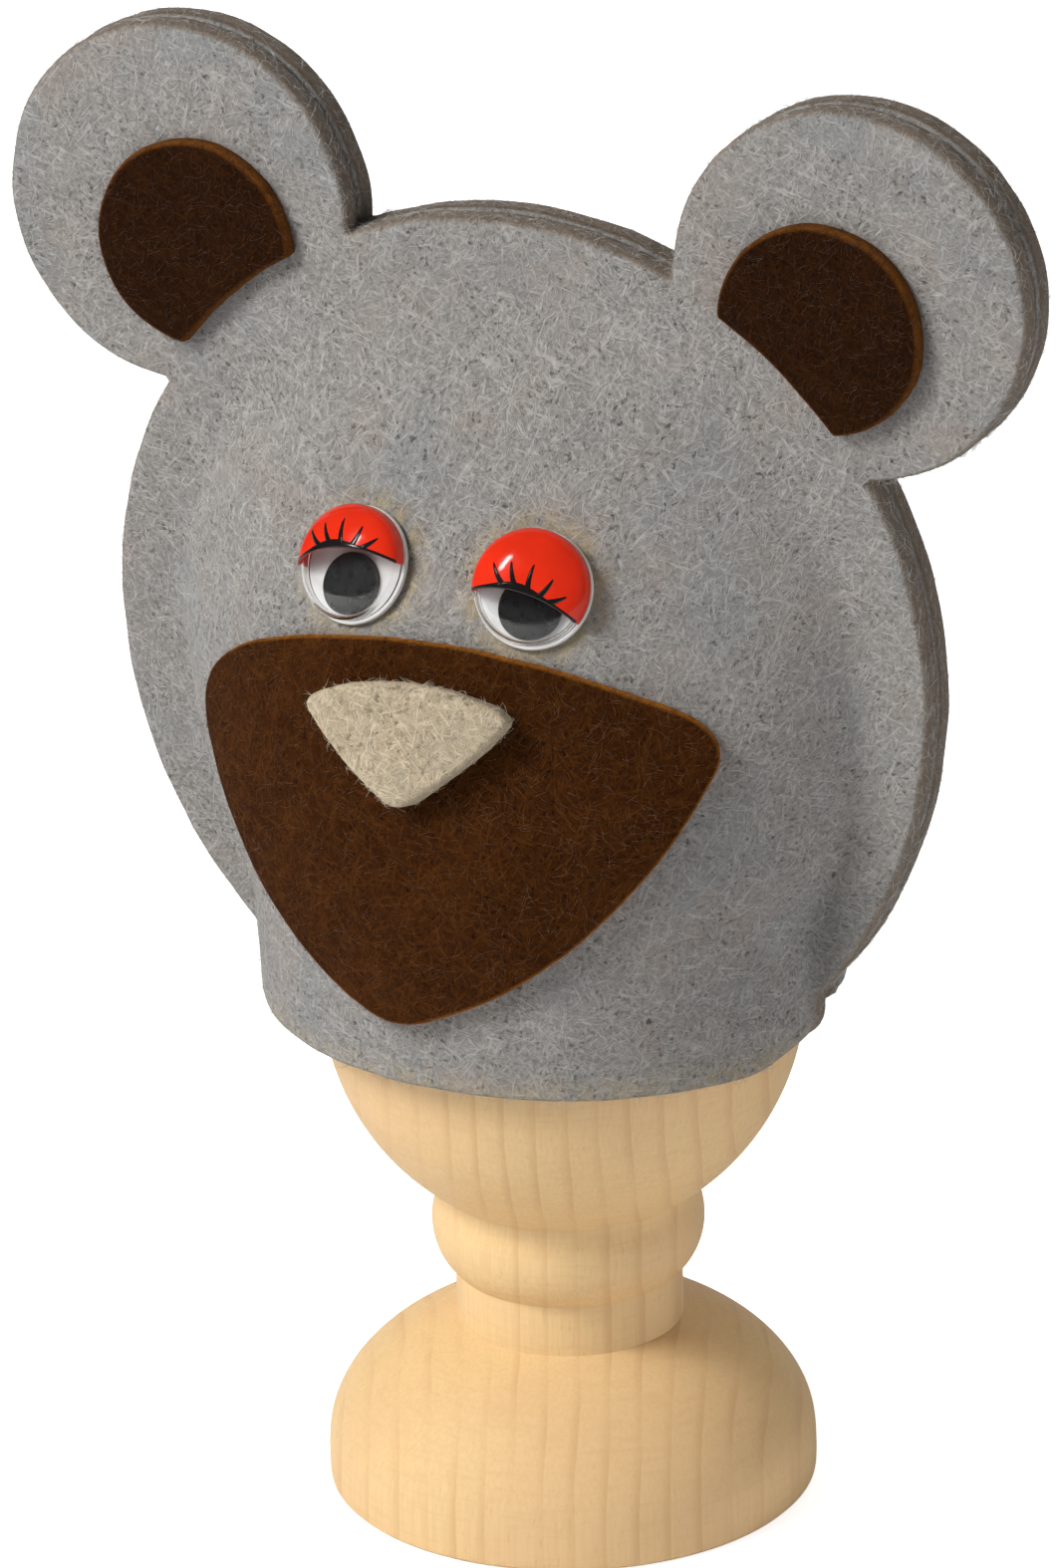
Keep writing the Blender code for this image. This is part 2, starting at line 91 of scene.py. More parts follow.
# Each panel is this much thicker inwards than its node, so that the glued seam shows no gap
SEAM_FILL = 0.12 * MM
GAP = 0.3 * MM
RIM_FACE = 2.9 * MM
TUBE_HALF_DEPTH = 27.2 * MM
TUBE_HALF_WIDTH = 28.7 * MM
TUBE_TOP_Z = 62.0 * MM
TUBE_BLEND = 2.0 * MM
TUBE_SHIFT = 1.85 * MM
SHIFT_RISE = 38.0 * MM
POUCH_TOP_Z = 120.0 * MM
POUCH_RADIUS = 36.7 * MM
RIM_BLEND = 1.6 * MM
FLATTENING = 1.8
ROUND_START_Z = SKIRT_Z + 7.0 * MM
ROUND_RISE = 36.0 * MM
TUBE_ROUNDNESS = 0.5
HEAD_ROUNDNESS = 0.77

# Muzzle and nose: sharp corners in mm (tip, right, left), how far the side after each corner bows out
# as a share of its length, and the share of the sides' ends that rounding takes from each corner
MUZZLE = {
    "corners": ((-0.9, 58.0), (27.2, 87.1), (-28.9, 86.2)),
    "bows": (0.13, 0.13, 0.115),
    "rounds": (0.07, 0.09, 0.16),
}
NOSE = {
    "corners": ((-0.4, 79.3), (9.3, 88.4), (-11.1, 87.3)),
    "bows": (0.04, 0.12, 0.04),
    "rounds": (0.10, 0.10, 0.10),
}
INNER_EAR_RADIUS = 10.3 * MM
INNER_EAR_X = 32.8 * MM
INNER_EAR_Z = 124.9 * MM
INNER_EAR_BITE = HEAD_RADIUS + 0.4 * MM

# Eyes: place on the face in mm, the lid's roll in degrees, anticlockwise from the front, and the
# height in mm of its arched edge above the middle of the eye
EYES = {
    "left": {"place": (-10.3, 99.1), "lid_roll": 13.0, "lid_line": 1.1},
    "right": {"place": (8.3, 99.45), "lid_roll": -12.0, "lid_line": -0.8},
}
DISC_RADIUS = 5.8 * MM
DISC_DEPTH = 0.4 * MM
DISC_EDGE = 0.25 * MM
DOME_BASE = 0.48 * MM
DOME_RADIUS = 5.5 * MM
DOME_HEIGHT = 3.2 * MM
DOME_WALL = 0.35 * MM
LID_BASE = 0.48 * MM
LID_RADIUS = 5.7 * MM
LID_SIDE = 1.0 * MM
LID_HEIGHT = 3.4 * MM
LID_WALL = 0.12 * MM
LID_LINE_RADIUS = 13.0 * MM

# Camera: where it stands about the object, and what it looks at, from the middle of the CAD's box
CAMERA_TURN = math.radians(26.25)
CAMERA_RISE = math.radians(22.06)
CAMERA_ROLL = math.radians(-1.30)
CAMERA_DISTANCE = 1.0155
LENS = 241.5
AIM = Vector((0.34 * MM, -0.35 * MM, 1.83 * MM))
FRAME_SHIFT = (-0.0006, -0.0109)

# How the felt is meshed and finished
CELL = 0.95 * MM
FINE_CELL = 0.6 * MM
EDGE_RINGS = (0.16 * MM, 0.42 * MM, 0.8 * MM)
EDGE_ROUND = 0.45 * MM
CUT_WOBBLE = 0.16 * MM
RIM_WIDTH = 0.35 * MM
WALL_ROW = 0.5 * MM
SINK = 0.12 * MM
LATHE_STEPS = 72
DOME_STEPS = 24


def smoothstep(t):
    t = np.clip(t, 0.0, 1.0)
    return t * t * (3 - 2 * t)


# Face shape


def blend_max(a, b, softness):
    return (a + b + np.hypot(a - b, softness)) / 2


def pouch_middle(z):
    return TUBE_SHIFT * (1 - smoothstep((z - SKIRT_Z) / SHIFT_RISE))


def pouch_half_width(z):
    chord = np.sqrt(np.maximum(0.0, POUCH_RADIUS**2 - (z - HEAD_Z) ** 2))
    return blend_max(chord, TUBE_HALF_WIDTH, TUBE_BLEND)


def face_depth(x, z):
    """How far the felt's outer face stands in front of the seam plane."""
    rise = np.maximum(0.0, (z - TUBE_TOP_Z) / (POUCH_TOP_Z - TUBE_TOP_Z))
    middle = np.maximum(0.0, RIM_FACE + (TUBE_HALF_DEPTH - RIM_FACE) * (1 - rise**FLATTENING))
    ramp = smoothstep((z - ROUND_START_Z) / ROUND_RISE)
    roundness = TUBE_ROUNDNESS + (HEAD_ROUNDNESS - TUBE_ROUNDNESS) * ramp
    across = 1 - ((x - pouch_middle(z)) / pouch_half_width(z)) ** 2
    share = np.where(across > 0, np.abs(across) ** roundness, across)
    return RIM_FACE + blend_max(middle * share - RIM_FACE, 0.0, RIM_BLEND)


def face_surface(x, z):
    """Points on the felt's outer face and their normals."""
    step = 0.15 * MM
    slope_x = (face_depth(x + step, z) - face_depth(x - step, z)) / (2 * step)
    slope_z = (face_depth(x, z + step) - face_depth(x, z - step)) / (2 * step)
    normals = np.stack([-slope_x, -np.ones_like(x), -slope_z], axis=1)
    normals /= np.linalg.norm(normals, axis=1)[:, None]
    return np.stack([x, -face_depth(x, z), z], axis=1), normals


class FacePattern:
    """Lays the face out flat: (x, z) to and from (distance along the felt from the middle, z)."""

    def __init__(self):
        self.x = np.arange(-60.0, 60.05, 0.05) * MM
        self.z = np.arange(SKIRT_Z - 4 * MM, PANEL_HIGH.z + 4 * MM, 0.5 * MM)
        depth = face_depth(self.x[None, :], self.z[:, None])
        steps = np.hypot(np.diff(depth, axis=1), np.diff(self.x)[None, :])
        along = np.hstack([np.zeros((len(self.z), 1)), np.cumsum(steps, axis=1)])
        self.along = along - along[:, len(self.x) // 2][:, None]
        self.even = np.linspace(self.along[:, 0].max(), self.along[:, -1].min(), len(self.x))
        self.back = np.array([np.interp(self.even, row, self.x) for row in self.along])

    def look_up(self, table, columns, value, z):
        row = np.clip((z - self.z[0]) / (self.z[1] - self.z[0]), 0, len(self.z) - 1.001)
        column = np.clip((value - columns[0]) / (columns[1] - columns[0]), 0, len(columns) - 1.001)
        i, j = row.astype(int), column.astype(int)
        u, v = row - i, column - j
        low = table[i, j] * (1 - v) + table[i, j + 1] * v
        high = table[i + 1, j] * (1 - v) + table[i + 1, j + 1] * v
        return low * (1 - u) + high * u

    def flatten(self, outline):
        x, z = np.array(outline).T
        return np.stack([self.look_up(self.along, self.x, x, z), z], axis=1)

    def surface(self, pattern):
        along, z = pattern.T
        return face_surface(self.look_up(self.back, self.even, along, z), z)


FACE = FacePattern()


# Outlines in the XZ plane, anticlockwise from the front


def arc(center, radius, start, end, tall=None):
    """Points every quarter millimetre on an arc, both ends included; angles in degrees. tall is the
    radius along Z if it differs."""
    tall = tall or radius
    count = max(2, round(abs(math.radians(end - start)) * radius / (0.25 * MM)))
    angles = np.radians(np.linspace(start, end, count + 1))
    return [(center[0] + radius * math.cos(a), center[1] + tall * math.sin(a)) for a in angles]


def crossing(center, radius, other_radius):
    """Where a circle meets a circle about the head's centre: half angles at each, and the direction."""
    distance = math.hypot(center[0], center[1] - HEAD_Z)
    along = (distance**2 + other_radius**2 - radius**2) / (2 * distance)
    at_head = math.degrees(math.acos(along / other_radius))
    at_circle = math.degrees(math.acos((distance - along) / radius))
    return at_head, at_circle, math.degrees(math.atan2(center[1] - HEAD_Z, center[0]))


def head_outline():
    right = skirt_corner(SKIRT_RIGHT, SKIRT_CORNER) + half_head(SKIRT_RIGHT)
    left = skirt_corner(SKIRT_LEFT, SKIRT_CORNER - SKIRT_SLOPE) + half_head(SKIRT_LEFT)
    return right + [(-x, z) for x, z in reversed(left)]


def back_hem(x, z):
    """How far the back panel's hem is cut above the front's, towards its right end."""
    low = 1 - smoothstep((z - SKIRT_Z) / HEM_HEIGHT)
    return HEM_RISE * smoothstep((x - HEM_START_X) / HEM_RUN) * low


def skirt_corner(side, radius):
    """The right one: the side always ends at the same height, so a smaller radius lifts the bottom."""
    return arc((side - radius, SKIRT_Z + SKIRT_CORNER), radius, -90, 0)


def half_head(side):
    """The right half, from the top of the skirt's side to just short of the crown."""
    at_head, at_ear, direction = crossing((EAR_X, EAR_Z), EAR_RADIUS, HEAD_RADIUS)
    skirt_angle = -math.degrees(math.acos(side / HEAD_RADIUS))
    head = (0.0, HEAD_Z)
    half = arc(head, HEAD_RADIUS, skirt_angle, 0, CHIN_RADIUS)
    half += arc(head, HEAD_RADIUS, 0, direction - at_head)[1:]
    half += arc((EAR_X, EAR_Z), EAR_RADIUS, direction - 180 + at_ear, direction + 180 - at_ear)[1:]
    return half + arc(head, HEAD_RADIUS, direction + at_head, 90)[1:-1]


def inner_ear_outline(side):
    """A round patch whose lower corner is bitten off along the head's own circle."""
    center = (INNER_EAR_X, INNER_EAR_Z)
    at_head, at_patch, direction = crossing(center, INNER_EAR_RADIUS, INNER_EAR_BITE)
    points = arc(center, INNER_EAR_RADIUS, direction - 180 + at_patch, direction + 180 - at_patch)
    points += arc((0.0, HEAD_Z), INNER_EAR_BITE, direction + at_head, direction - at_head)[1:-1]
    return [(side * x, z) for x, z in points][::side]


def quadratic(start, control, end, t):
    return start * (1 - t) ** 2 + control * 2 * t * (1 - t) + end * t**2


def bowed(start, end, bow, t):
    side = end - start
    outward = Vector((side.y, -side.x))
    return quadratic(start, (start + end) / 2 + outward * 2 * bow, end, t)


def rounded_triangle(shape):
    """A triangle pointing down with bowed sides and round corners."""
    corners = [Vector(corner) * MM for corner in shape["corners"]]
    bows, rounds = shape["bows"], shape["rounds"]
    points = []
    for index, corner in enumerate(corners):
        after = (index + 1) % 3
        start = bowed(corners[index - 1], corner, bows[index - 1], 1 - rounds[index])
        end = bowed(corner, corners[after], bows[index], rounds[index])
        points += [quadratic(start, corner, end, t) for t in np.linspace(0, 1, 16)]
        side = np.linspace(rounds[index], 1 - rounds[after], 60)[1:-1]
        points += [bowed(corner, corners[after], bows[index], t) for t in side]
    return [tuple(point) for point in points]


# Closed sheets over a flat pattern


def evenly(outline, spacing):
    """The closed outline resampled at an even spacing."""
    closed = np.vstack([outline, outline[:1]])
    lengths = np.concatenate([[0.0], np.cumsum(np.linalg.norm(np.diff(closed, axis=0), axis=1))])
    count = round(lengths[-1] / spacing)
    places = np.linspace(0.0, lengths[-1], count, endpoint=False)
    return np.stack([np.interp(places, lengths, closed[:, k]) for k in range(2)], axis=1)


def outward_of(loop):
    ahead = np.roll(loop, -1, axis=0) - np.roll(loop, 1, axis=0)
    ahead /= np.linalg.norm(ahead, axis=1)[:, None]
    return np.stack([ahead[:, 1], -ahead[:, 0]], axis=1)


def distance_to(loop, points):
    """Distance from each point to the closed loop, and whether the point is inside it."""
    start, end = loop, np.roll(loop, -1, axis=0)
    side = end - start
    offset = points[:, None, :] - start[None, :, :]
    t = np.clip((offset * side).sum(2) / (side * side).sum(1), 0.0, 1.0)
    away = np.linalg.norm(offset - t[..., None] * side, axis=2).min(1)
    y = points[:, 1:2]
    spans = (start[None, :, 1] > y) != (end[None, :, 1] > y)
    rise = np.where(side[:, 1] == 0, 1.0, side[:, 1])
    at = start[None, :, 0] + (y - start[None, :, 1]) / rise[None, :] * side[None, :, 0]
    inside = (spans & (points[:, :1] < at)).sum(1) % 2 == 1
    return away, inside


def lumps(points, size, offset):
    """Smooth noise from -1 to 1 at each point, with bumps about size across."""
    shift = Vector((offset, 7.3, -offset))
    return np.array([noise.noise(Vector(p) / size + shift) for p in points])


def scatter(loop, cell):
    """Points that fill the loop: rows close to its edge, then a loosely shaken grid."""
    outward = outward_of(loop)
    rings = []
    for depth in EDGE_RINGS:
        ring = loop - outward * depth
        away, inside = distance_to(loop, ring)
        rings.append(ring[inside & (away > 0.9 * depth)])
    low, high = loop.min(0), loop.max(0)
    rows = np.arange(low[1], high[1], cell * 0.87)
    columns = np.arange(low[0], high[0], cell)
    grid = np.array([(x + (index % 2) * cell / 2, z) for index, z in enumerate(rows) for x in columns])
    grid += np.random.default_rng(4).uniform(-0.14, 0.14, grid.shape) * cell
    away, inside = distance_to(loop, grid)
    return np.vstack(rings + [grid[inside & (away > EDGE_RINGS[-1] + 0.45 * cell)]])


def triangulate(loop, points):
    count = len(loop)
    everything = np.vstack([loop, points])
    flat = [Vector(p) for p in everything / MM]
    result = delaunay_2d_cdt(flat, [], [list(range(count))], 1, 1e-4)
    vertices, faces = result[0], result[2]
    return np.array([v[:] for v in vertices]) * MM, np.array([list(f) for f in faces])


def rounding(away, radius):
    """How far a cut edge has dropped this far inside it."""
    t = np.clip(1 - away / radius, 0.0, 1.0)
    return radius * (1 - np.sqrt(1 - t * t))


def make_sheet(
        name, outline, surface, levels, cell, roughness=1.0, wobble=CUT_WOBBLE, edge=EDGE_ROUND, seed=0):
    """A closed sheet between two levels, (top, bottom), above a surface. outline is its flat pattern.
    Attributes: pattern holds the flat place in millimetres, rim is 1 on the cut edge and 0 beside it."""
    top_level, bottom_level = levels
    loop = evenly(np.array(outline), cell * 0.8)
    cut = lumps(np.c_[loop, np.zeros(len(loop))], 5 * MM, 1.7 + seed)
    loop = loop + outward_of(loop) * (cut * wobble)[:, None]
    flat, triangles = triangulate(loop, scatter(loop, cell))
    away, _ = distance_to(loop, flat)
    count = len(loop)
    away[:count] = 0.0
    places, normals = surface(flat)
    edge = min(edge, (top_level - bottom_level) * 0.45)
    dimples = 0.10 * lumps(places, 7 * MM, 3.1) + 0.05 * lumps(places, 2.2 * MM, 5.9)
    height = top_level - rounding(away, edge) + dimples * MM * roughness
    top = places + normals * height[:, None]
    bottom = places + normals * (bottom_level + rounding(away, edge * 0.6))[:, None]

    ahead = np.roll(places[:count], -1, axis=0) - np.roll(places[:count], 1, axis=0)
    outward = np.cross(ahead, normals[:count])
    outward /= np.linalg.norm(outward, axis=1)[:, None]
    rows = max(1, round((top_level - bottom_level - edge * 1.6) / WALL_ROW))
    wall, wall_pattern = [], []
    for row in range(1, rows + 1):
        t = row / (rows + 1)
        middle = top[:count] * (1 - t) + bottom[:count] * t
        swell = lumps(middle, 1.1 * MM, 9.2) * 0.10 * MM * roughness + 0.08 * MM * roughness
        wall.append(middle + outward * swell[:, None])
        depth = t * (top_level - bottom_level)
        wall_pattern.append(flat[:count] + outward_of(loop) * depth)

    total = len(flat)
    points = np.vstack([top] + wall + [bottom])
    pattern = np.vstack([flat] + wall_pattern + [flat])
    level = np.concatenate([np.zeros(total + rows * count), np.full(total, FELT)])
    # Edge tint mask: 1 on the cut wall and fading over the top face's edge. It carries a burnt brown cut
    # edge, and on the grey felt painted shade on the edges too
    edge_burn_and_shade = [1 - smoothstep(away / RIM_WIDTH), np.ones((rows + 1) * count), np.zeros(total - count)]
    rim = np.concatenate(edge_burn_and_shade)
    bands = [np.arange(count)] + [total + row * count + np.arange(count) for row in range(rows)]
    bands.append(total + rows * count + np.arange(count))
    quads = []
    for upper, lower in zip(bands, bands[1:]):
        quads.append(np.stack([upper, lower, np.roll(lower, -1), np.roll(upper, -1)], axis=1))
    quads = np.vstack(quads)
    below = triangles[:, ::-1] + total + rows * count
    mesh = bpy.data.meshes.new(name)
    mesh.from_pydata(points.tolist(), [], triangles.tolist() + quads.tolist() + below.tolist())
    add_attribute(mesh, "pattern", "FLOAT_VECTOR", np.c_[pattern, level] / MM)
    add_attribute(mesh, "rim", "FLOAT", rim)
    mesh.shade_smooth()
    mesh.update()
    obj = bpy.data.objects.new(name, mesh)
    bpy.context.scene.collection.objects.link(obj)
    obj["outer_faces"] = len(triangles) + len(quads)
    return obj


def add_attribute(mesh, name, kind, values):
    attribute = mesh.attributes.new(name, kind, "POINT")
    field = "vector" if kind == "FLOAT_VECTOR" else "value"
    attribute.data.foreach_set(field, np.asarray(values, np.float32).ravel())


def add_stain(felt):
    """Glue that has soaked into the felt in a ring about each eye and along the hem."""
    points = np.array([v.co[:] for v in felt.data.vertices])
    stain = np.zeros(len(points))
    for eye in EYES.values():
        middle = face_surface(*(np.array([value * MM]) for value in eye["place"]))[0][0]
        away = np.linalg.norm(points - middle, axis=1)
        stain = np.maximum(stain, 1 - smoothstep((away - GLUE_RING) / GLUE_SPREAD))
    above_hem = points[:, 2] - SKIRT_Z - HEM_GLUE_START
    stain = np.maximum(stain, HEM_GLUE * (1 - smoothstep(above_hem / HEM_GLUE_SPREAD)))
    add_attribute(felt.data, "stain", "FLOAT", stain)


def shift_to_cosy(obj):
    obj.data.transform(Matrix.Translation((COSY_X, 0.0, 0.0)))


def turn_to_back(obj):
    """Mirrors a front piece through the seam plane."""
    obj.data.transform(Matrix.Diagonal((1.0, -1.0, 1.0, 1.0)))
    obj.data.flip_normals()


def finish_piece(obj, body, slot, surface, *nodes):
    obj.data.materials.clear()
    obj.data.materials.append(surface)
    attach(obj, body)
    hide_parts(*nodes)
    return obj


# Loose fibres


def make_fuzz(name, felt, count, length, radius, surface, slot, seed, share_on_rim=0.25):
    """Short closed fibres, three-sided and tapered, that root in the felt and arch over it."""
    random = np.random.default_rng(seed)
    mesh = felt.data
    mesh.calc_loop_triangles()
    polygons = np.array([t.polygon_index for t in mesh.loop_triangles])
    corners = np.array([t.vertices[:] for t in mesh.loop_triangles])
    outside = corners[polygons < felt["outer_faces"]]
    points = np.array([v.co[:] for v in mesh.vertices])
    normals = np.array([v.normal[:] for v in mesh.vertices])
    rim = np.array([v.value for v in mesh.attributes["rim"].data])
    a, b, c = (points[outside[:, k]] for k in range(3))
    area = np.linalg.norm(np.cross(b - a, c - a), axis=1)
    on_rim = rim[outside].mean(1) > 0.5
    weight = area / area.sum()
    rim_total = weight[on_rim].sum()
    on_top = weight * (1 - share_on_rim) / (1 - rim_total)
    weight = np.where(on_rim, weight * share_on_rim / rim_total, on_top)
    chosen = random.choice(len(outside), count, p=weight)
    u, v = random.random(count), random.random(count)
    flip = u + v > 1
    u, v = np.where(flip, 1 - u, u), np.where(flip, 1 - v, v)
    picked = outside[chosen]
    shares = np.stack([1 - u - v, u, v], axis=1)[:, :, None]
    root = (points[picked] * shares).sum(1)
    normal = (normals[picked] * shares).sum(1)
    normal /= np.linalg.norm(normal, axis=1)[:, None]
    across = np.cross(normal, random.normal(size=(count, 3)))
    across /= np.linalg.norm(across, axis=1)[:, None]
    aside = np.cross(normal, across)
    reach = length * random.uniform(0.45, 1.25, count)[:, None]
    curl = random.normal(0.0, 0.35, count)[:, None]
    lift = random.uniform(0.05, 0.22, count)[:, None]
    end_lift = random.choice([0.0, 0.25], count, p=[0.7, 0.3])[:, None]

    steps = 5
    rings = []
    for step in range(steps):
        t = step / (steps - 1)
        bend = lift * math.sin(math.pi * t) + end_lift * t * t
        spot = root + across * reach * t + aside * reach * curl * t * t
        spot = spot + normal * (reach * bend - 0.06 * MM * (1 - t))
        thin = radius * (1 - 0.75 * t)
        ring = []
        for corner in range(3):
            angle = 2 * math.pi * corner / 3
            ring.append(spot + (normal * math.cos(angle) + aside * math.sin(angle)) * thin)
        rings.append(np.stack(ring, axis=1))
    vertices = np.stack(rings, axis=1).reshape(-1, 3)
    first = np.arange(count)[:, None] * steps * 3
    faces = []
    for step in range(steps - 1):
        for corner in range(3):
            here, beside = step * 3 + corner, step * 3 + (corner + 1) % 3
            faces.append(first + np.array([here, beside, beside + 3, here + 3]))
    quads = np.vstack(faces)
    last = (steps - 1) * 3
    caps = np.vstack([first + np.array([2, 1, 0]), first + np.array([last, last + 1, last + 2])])
    fuzz = bpy.data.meshes.new(name)
    fuzz.from_pydata(vertices.tolist(), [], quads.tolist() + caps.tolist())
    fuzz.shade_smooth()
    fuzz.update()
    obj = bpy.data.objects.new(name, fuzz)
    bpy.context.scene.collection.objects.link(obj)
    return finish_piece(obj, "cosy", slot, surface)


# Shader helpers


def node(tree, kind, inputs=None, **settings):
    """A new node; an input that is a socket is linked, anything else is set."""
    made = tree.nodes.new(kind)
    for key, value in settings.items():
        setattr(made, key, value)
    for key, value in (inputs or {}).items():
        if isinstance(value, bpy.types.NodeSocket):
            tree.links.new(value, made.inputs[key])
        else:
            made.inputs[key].default_value = value
    return made


def calc(tree, operation, a, b=0.0, c=0.0):
    made = node(tree, "ShaderNodeMath", {0: a, 1: b, 2: c}, operation=operation)
    return made.outputs[0]


def between(tree, value, low, high, to_low=0.0, to_high=1.0):
    """The value from low..high to to_low..to_high, smooth at both ends."""
    inputs = {"Value": value, "From Min": low, "From Max": high, "To Min": to_low, "To Max": to_high}
    made = node(tree, "ShaderNodeMapRange", inputs, interpolation_type="SMOOTHSTEP")
    return made.outputs["Result"]


def mix(tree, factor, a, b):
    """Mixes two colours, each a socket or (r, g, b)."""
    made = node(tree, "ShaderNodeMix", {"Factor": factor}, data_type="RGBA")
    for socket, value in ((made.inputs["A"], a), (made.inputs["B"], b)):
        socket = [s for s in made.inputs if s.name == socket.name and s.type == "RGBA"][0]
        if isinstance(value, bpy.types.NodeSocket):
            tree.links.new(value, socket)
        else:
            socket.default_value = (*value, 1.0)
    return [s for s in made.outputs if s.type == "RGBA"][0]


def noise_at(tree, place, scale, detail=2.0, output="Fac", roughness=0.5):
    inputs = {"Vector": place, "Scale": scale, "Detail": detail, "Roughness": roughness}
    return node(tree, "ShaderNodeTexNoise", inputs).outputs[output]


def place_in(tree, place, rotation=(0, 0, 0), size=(1, 1, 1), location=(0, 0, 0)):
    """The place within a frame that stands at location, is turned, and is size large."""
    inputs = {"Vector": place, "Rotation": rotation, "Scale": size, "Location": location}
    return node(tree, "ShaderNodeMapping", inputs, vector_type="TEXTURE").outputs["Vector"]


def new_material(name):
    made = bpy.data.materials.new(name)
    made.use_nodes = True
    tree = made.node_tree
    return made, tree, tree.nodes["Principled BSDF"]


def connect(tree, shader, **sockets):
    for name, value in sockets.items():
        socket = shader.inputs[name.replace("_", " ")]
        if isinstance(value, bpy.types.NodeSocket):
            tree.links.new(value, socket)
        elif isinstance(value, tuple):
            socket.default_value = (*value, 1.0)
        else:
            socket.default_value = value


# Felt materials


FIBRE_WAYS = 6


def fibre_layer(tree, place, turn, length, width, thin):
    """Wavy fibres that run one way: contour lines of a stretched noise, broken into short lengths."""
    seed = turn * 13.7
    run = place_in(tree, place, (0, 0, turn), (length, width, 1), (seed, seed * 2, seed))
    contour = noise_at(tree, run, 1.0, 1.0)
    ridge = calc(tree, "SUBTRACT", 1.0, calc(tree, "ABSOLUTE", calc(tree, "MULTIPLY_ADD", contour, 2, -1)))
    line = between(tree, ridge, 1 - thin, 1.0)
    patches = noise_at(tree, place_in(tree, run, (0, 0, 0.6), (1, 3, 1)), 0.9, 0.0)
    return calc(tree, "MULTIPLY", line, between(tree, patches, 0.40, 0.58))


# Glue: its colour in the felt, the ring it makes about each eye, and its depth and strength at the hem
GLUE_STAIN = (0.44, 0.36, 0.22)
GLUE_RING = DISC_RADIUS
GLUE_SPREAD = 2.6 * MM
HEM_GLUE_START = 0.5 * MM
HEM_GLUE_SPREAD = 3.5 * MM
HEM_GLUE = 0.6


def felt_material(
        name, colours, fibre, speck, rim_colour, fibre_strength, warm, cool, rim_strength, gloss=0.2,
        stained=False):
    """colours is (dark, light) of the body of the felt, fibre the colour of its loose fibres, speck
    that of the pinholes between them, and warm and cool the tints of its larger patches."""
    made, tree, shader = new_material(name)
    pattern = node(tree, "ShaderNodeAttribute", attribute_name="pattern").outputs["Vector"]
    rim = node(tree, "ShaderNodeAttribute", attribute_name="rim").outputs["Fac"]
    warp = noise_at(tree, pattern, 0.42, 1.0, "Color")
    warp = node(tree, "ShaderNodeVectorMath", {0: warp, 1: (0.5, 0.5, 0.5)}, operation="SUBTRACT")
    warp = node(tree, "ShaderNodeVectorMath", {0: warp.outputs[0], "Scale": 0.9}, operation="SCALE")
    curled = node(tree, "ShaderNodeVectorMath", {0: pattern, 1: warp.outputs[0]}, operation="ADD")
    curled = curled.outputs[0]

    fibres = None
    for index in range(FIBRE_WAYS):
        turn = math.pi * index / FIBRE_WAYS + 0.3
        layer = fibre_layer(tree, curled, turn, 4.6, 0.22 + 0.05 * (index % 3), 0.15)
        fibres = layer if fibres is None else calc(tree, "MAXIMUM", fibres, layer)
    fluff = noise_at(tree, curled, 2.4, 3.0)
    pinholes = between(tree, noise_at(tree, pattern, 1.7, 4.0, roughness=0.62), 0.545, 0.67)
    clusters = between(tree, noise_at(tree, pattern, 0.24, 2.0), 0.38, 0.62, 0.2, 1.0)
    pinholes = calc(tree, "MULTIPLY", pinholes, clusters)
    open_fibres = calc(tree, "SUBTRACT", 1.0, calc(tree, "MULTIPLY", fibres, 0.5))
    pinholes = calc(tree, "MULTIPLY", pinholes, open_fibres)

    dark, light = colours
    body = mix(tree, between(tree, fluff, 0.3, 0.7), dark, light)
    patches = between(tree, noise_at(tree, pattern, 0.11, 3.0), 0.45, 0.68, 0.0, 0.55)
    body = mix(tree, patches, body, warm)
    elsewhere = place_in(tree, pattern, location=(40, 70, 0))
    patches = between(tree, noise_at(tree, elsewhere, 0.09, 3.0), 0.46, 0.66, 0.0, 0.5)
    body = mix(tree, patches, body, cool)
    body = mix(tree, calc(tree, "MULTIPLY", fibres, fibre_strength), body, fibre)
    body = mix(tree, calc(tree, "MULTIPLY", pinholes, 0.95), body, speck)
    coarse = between(tree, noise_at(tree, pattern, 1.1, 3.0, roughness=0.7), 0.32, 0.60, 0.6, 1.0)
    if stained:
        stain = node(tree, "ShaderNodeAttribute", attribute_name="stain").outputs["Fac"]
        soaked = between(tree, noise_at(tree, pattern, 0.6, 2.0), 0.35, 0.60, 0.1, 0.75)
        body = mix(tree, calc(tree, "MULTIPLY", stain, soaked), body, GLUE_STAIN)
    # Cut-edge tint: a burnt brown edge on every felt; on the grey felt its darker tone is also painted shade
    # on the edges
    edge_burn_and_shade = calc(tree, "MULTIPLY", calc(tree, "MULTIPLY", rim, coarse), rim_strength)
    body = mix(tree, edge_burn_and_shade, body, rim_colour)

    height = calc(tree, "MULTIPLY_ADD", fibres, 0.5, calc(tree, "MULTIPLY", fluff, 0.6))
    height = calc(tree, "SUBTRACT", height, calc(tree, "MULTIPLY", pinholes, 0.6))
    bump = node(tree, "ShaderNodeBump", {"Height": height, "Distance": 0.18 * MM, "Strength": 0.9})
    connect(tree, shader, Base_Color=body, Roughness=0.95, Normal=bump.outputs[0])
    connect(tree, shader, Specular_IOR_Level=gloss, Sheen_Weight=0.5 * gloss, Sheen_Roughness=0.5)
    return made


def fuzz_material(name, colour):
    """Single fibres, each a little lighter or darker than the next."""
    made, tree, shader = new_material(name)
    place = node(tree, "ShaderNodeTexCoord").outputs["Object"]
    tone = between(tree, noise_at(tree, place, 900.0, 1.0), 0.3, 0.7)
    dark = tuple(channel * 0.6 for channel in colour)
    connect(tree, shader, Base_Color=mix(tree, tone, dark, colour), Roughness=0.6, Sheen_Weight=0.2)
    return made


# Felt pieces


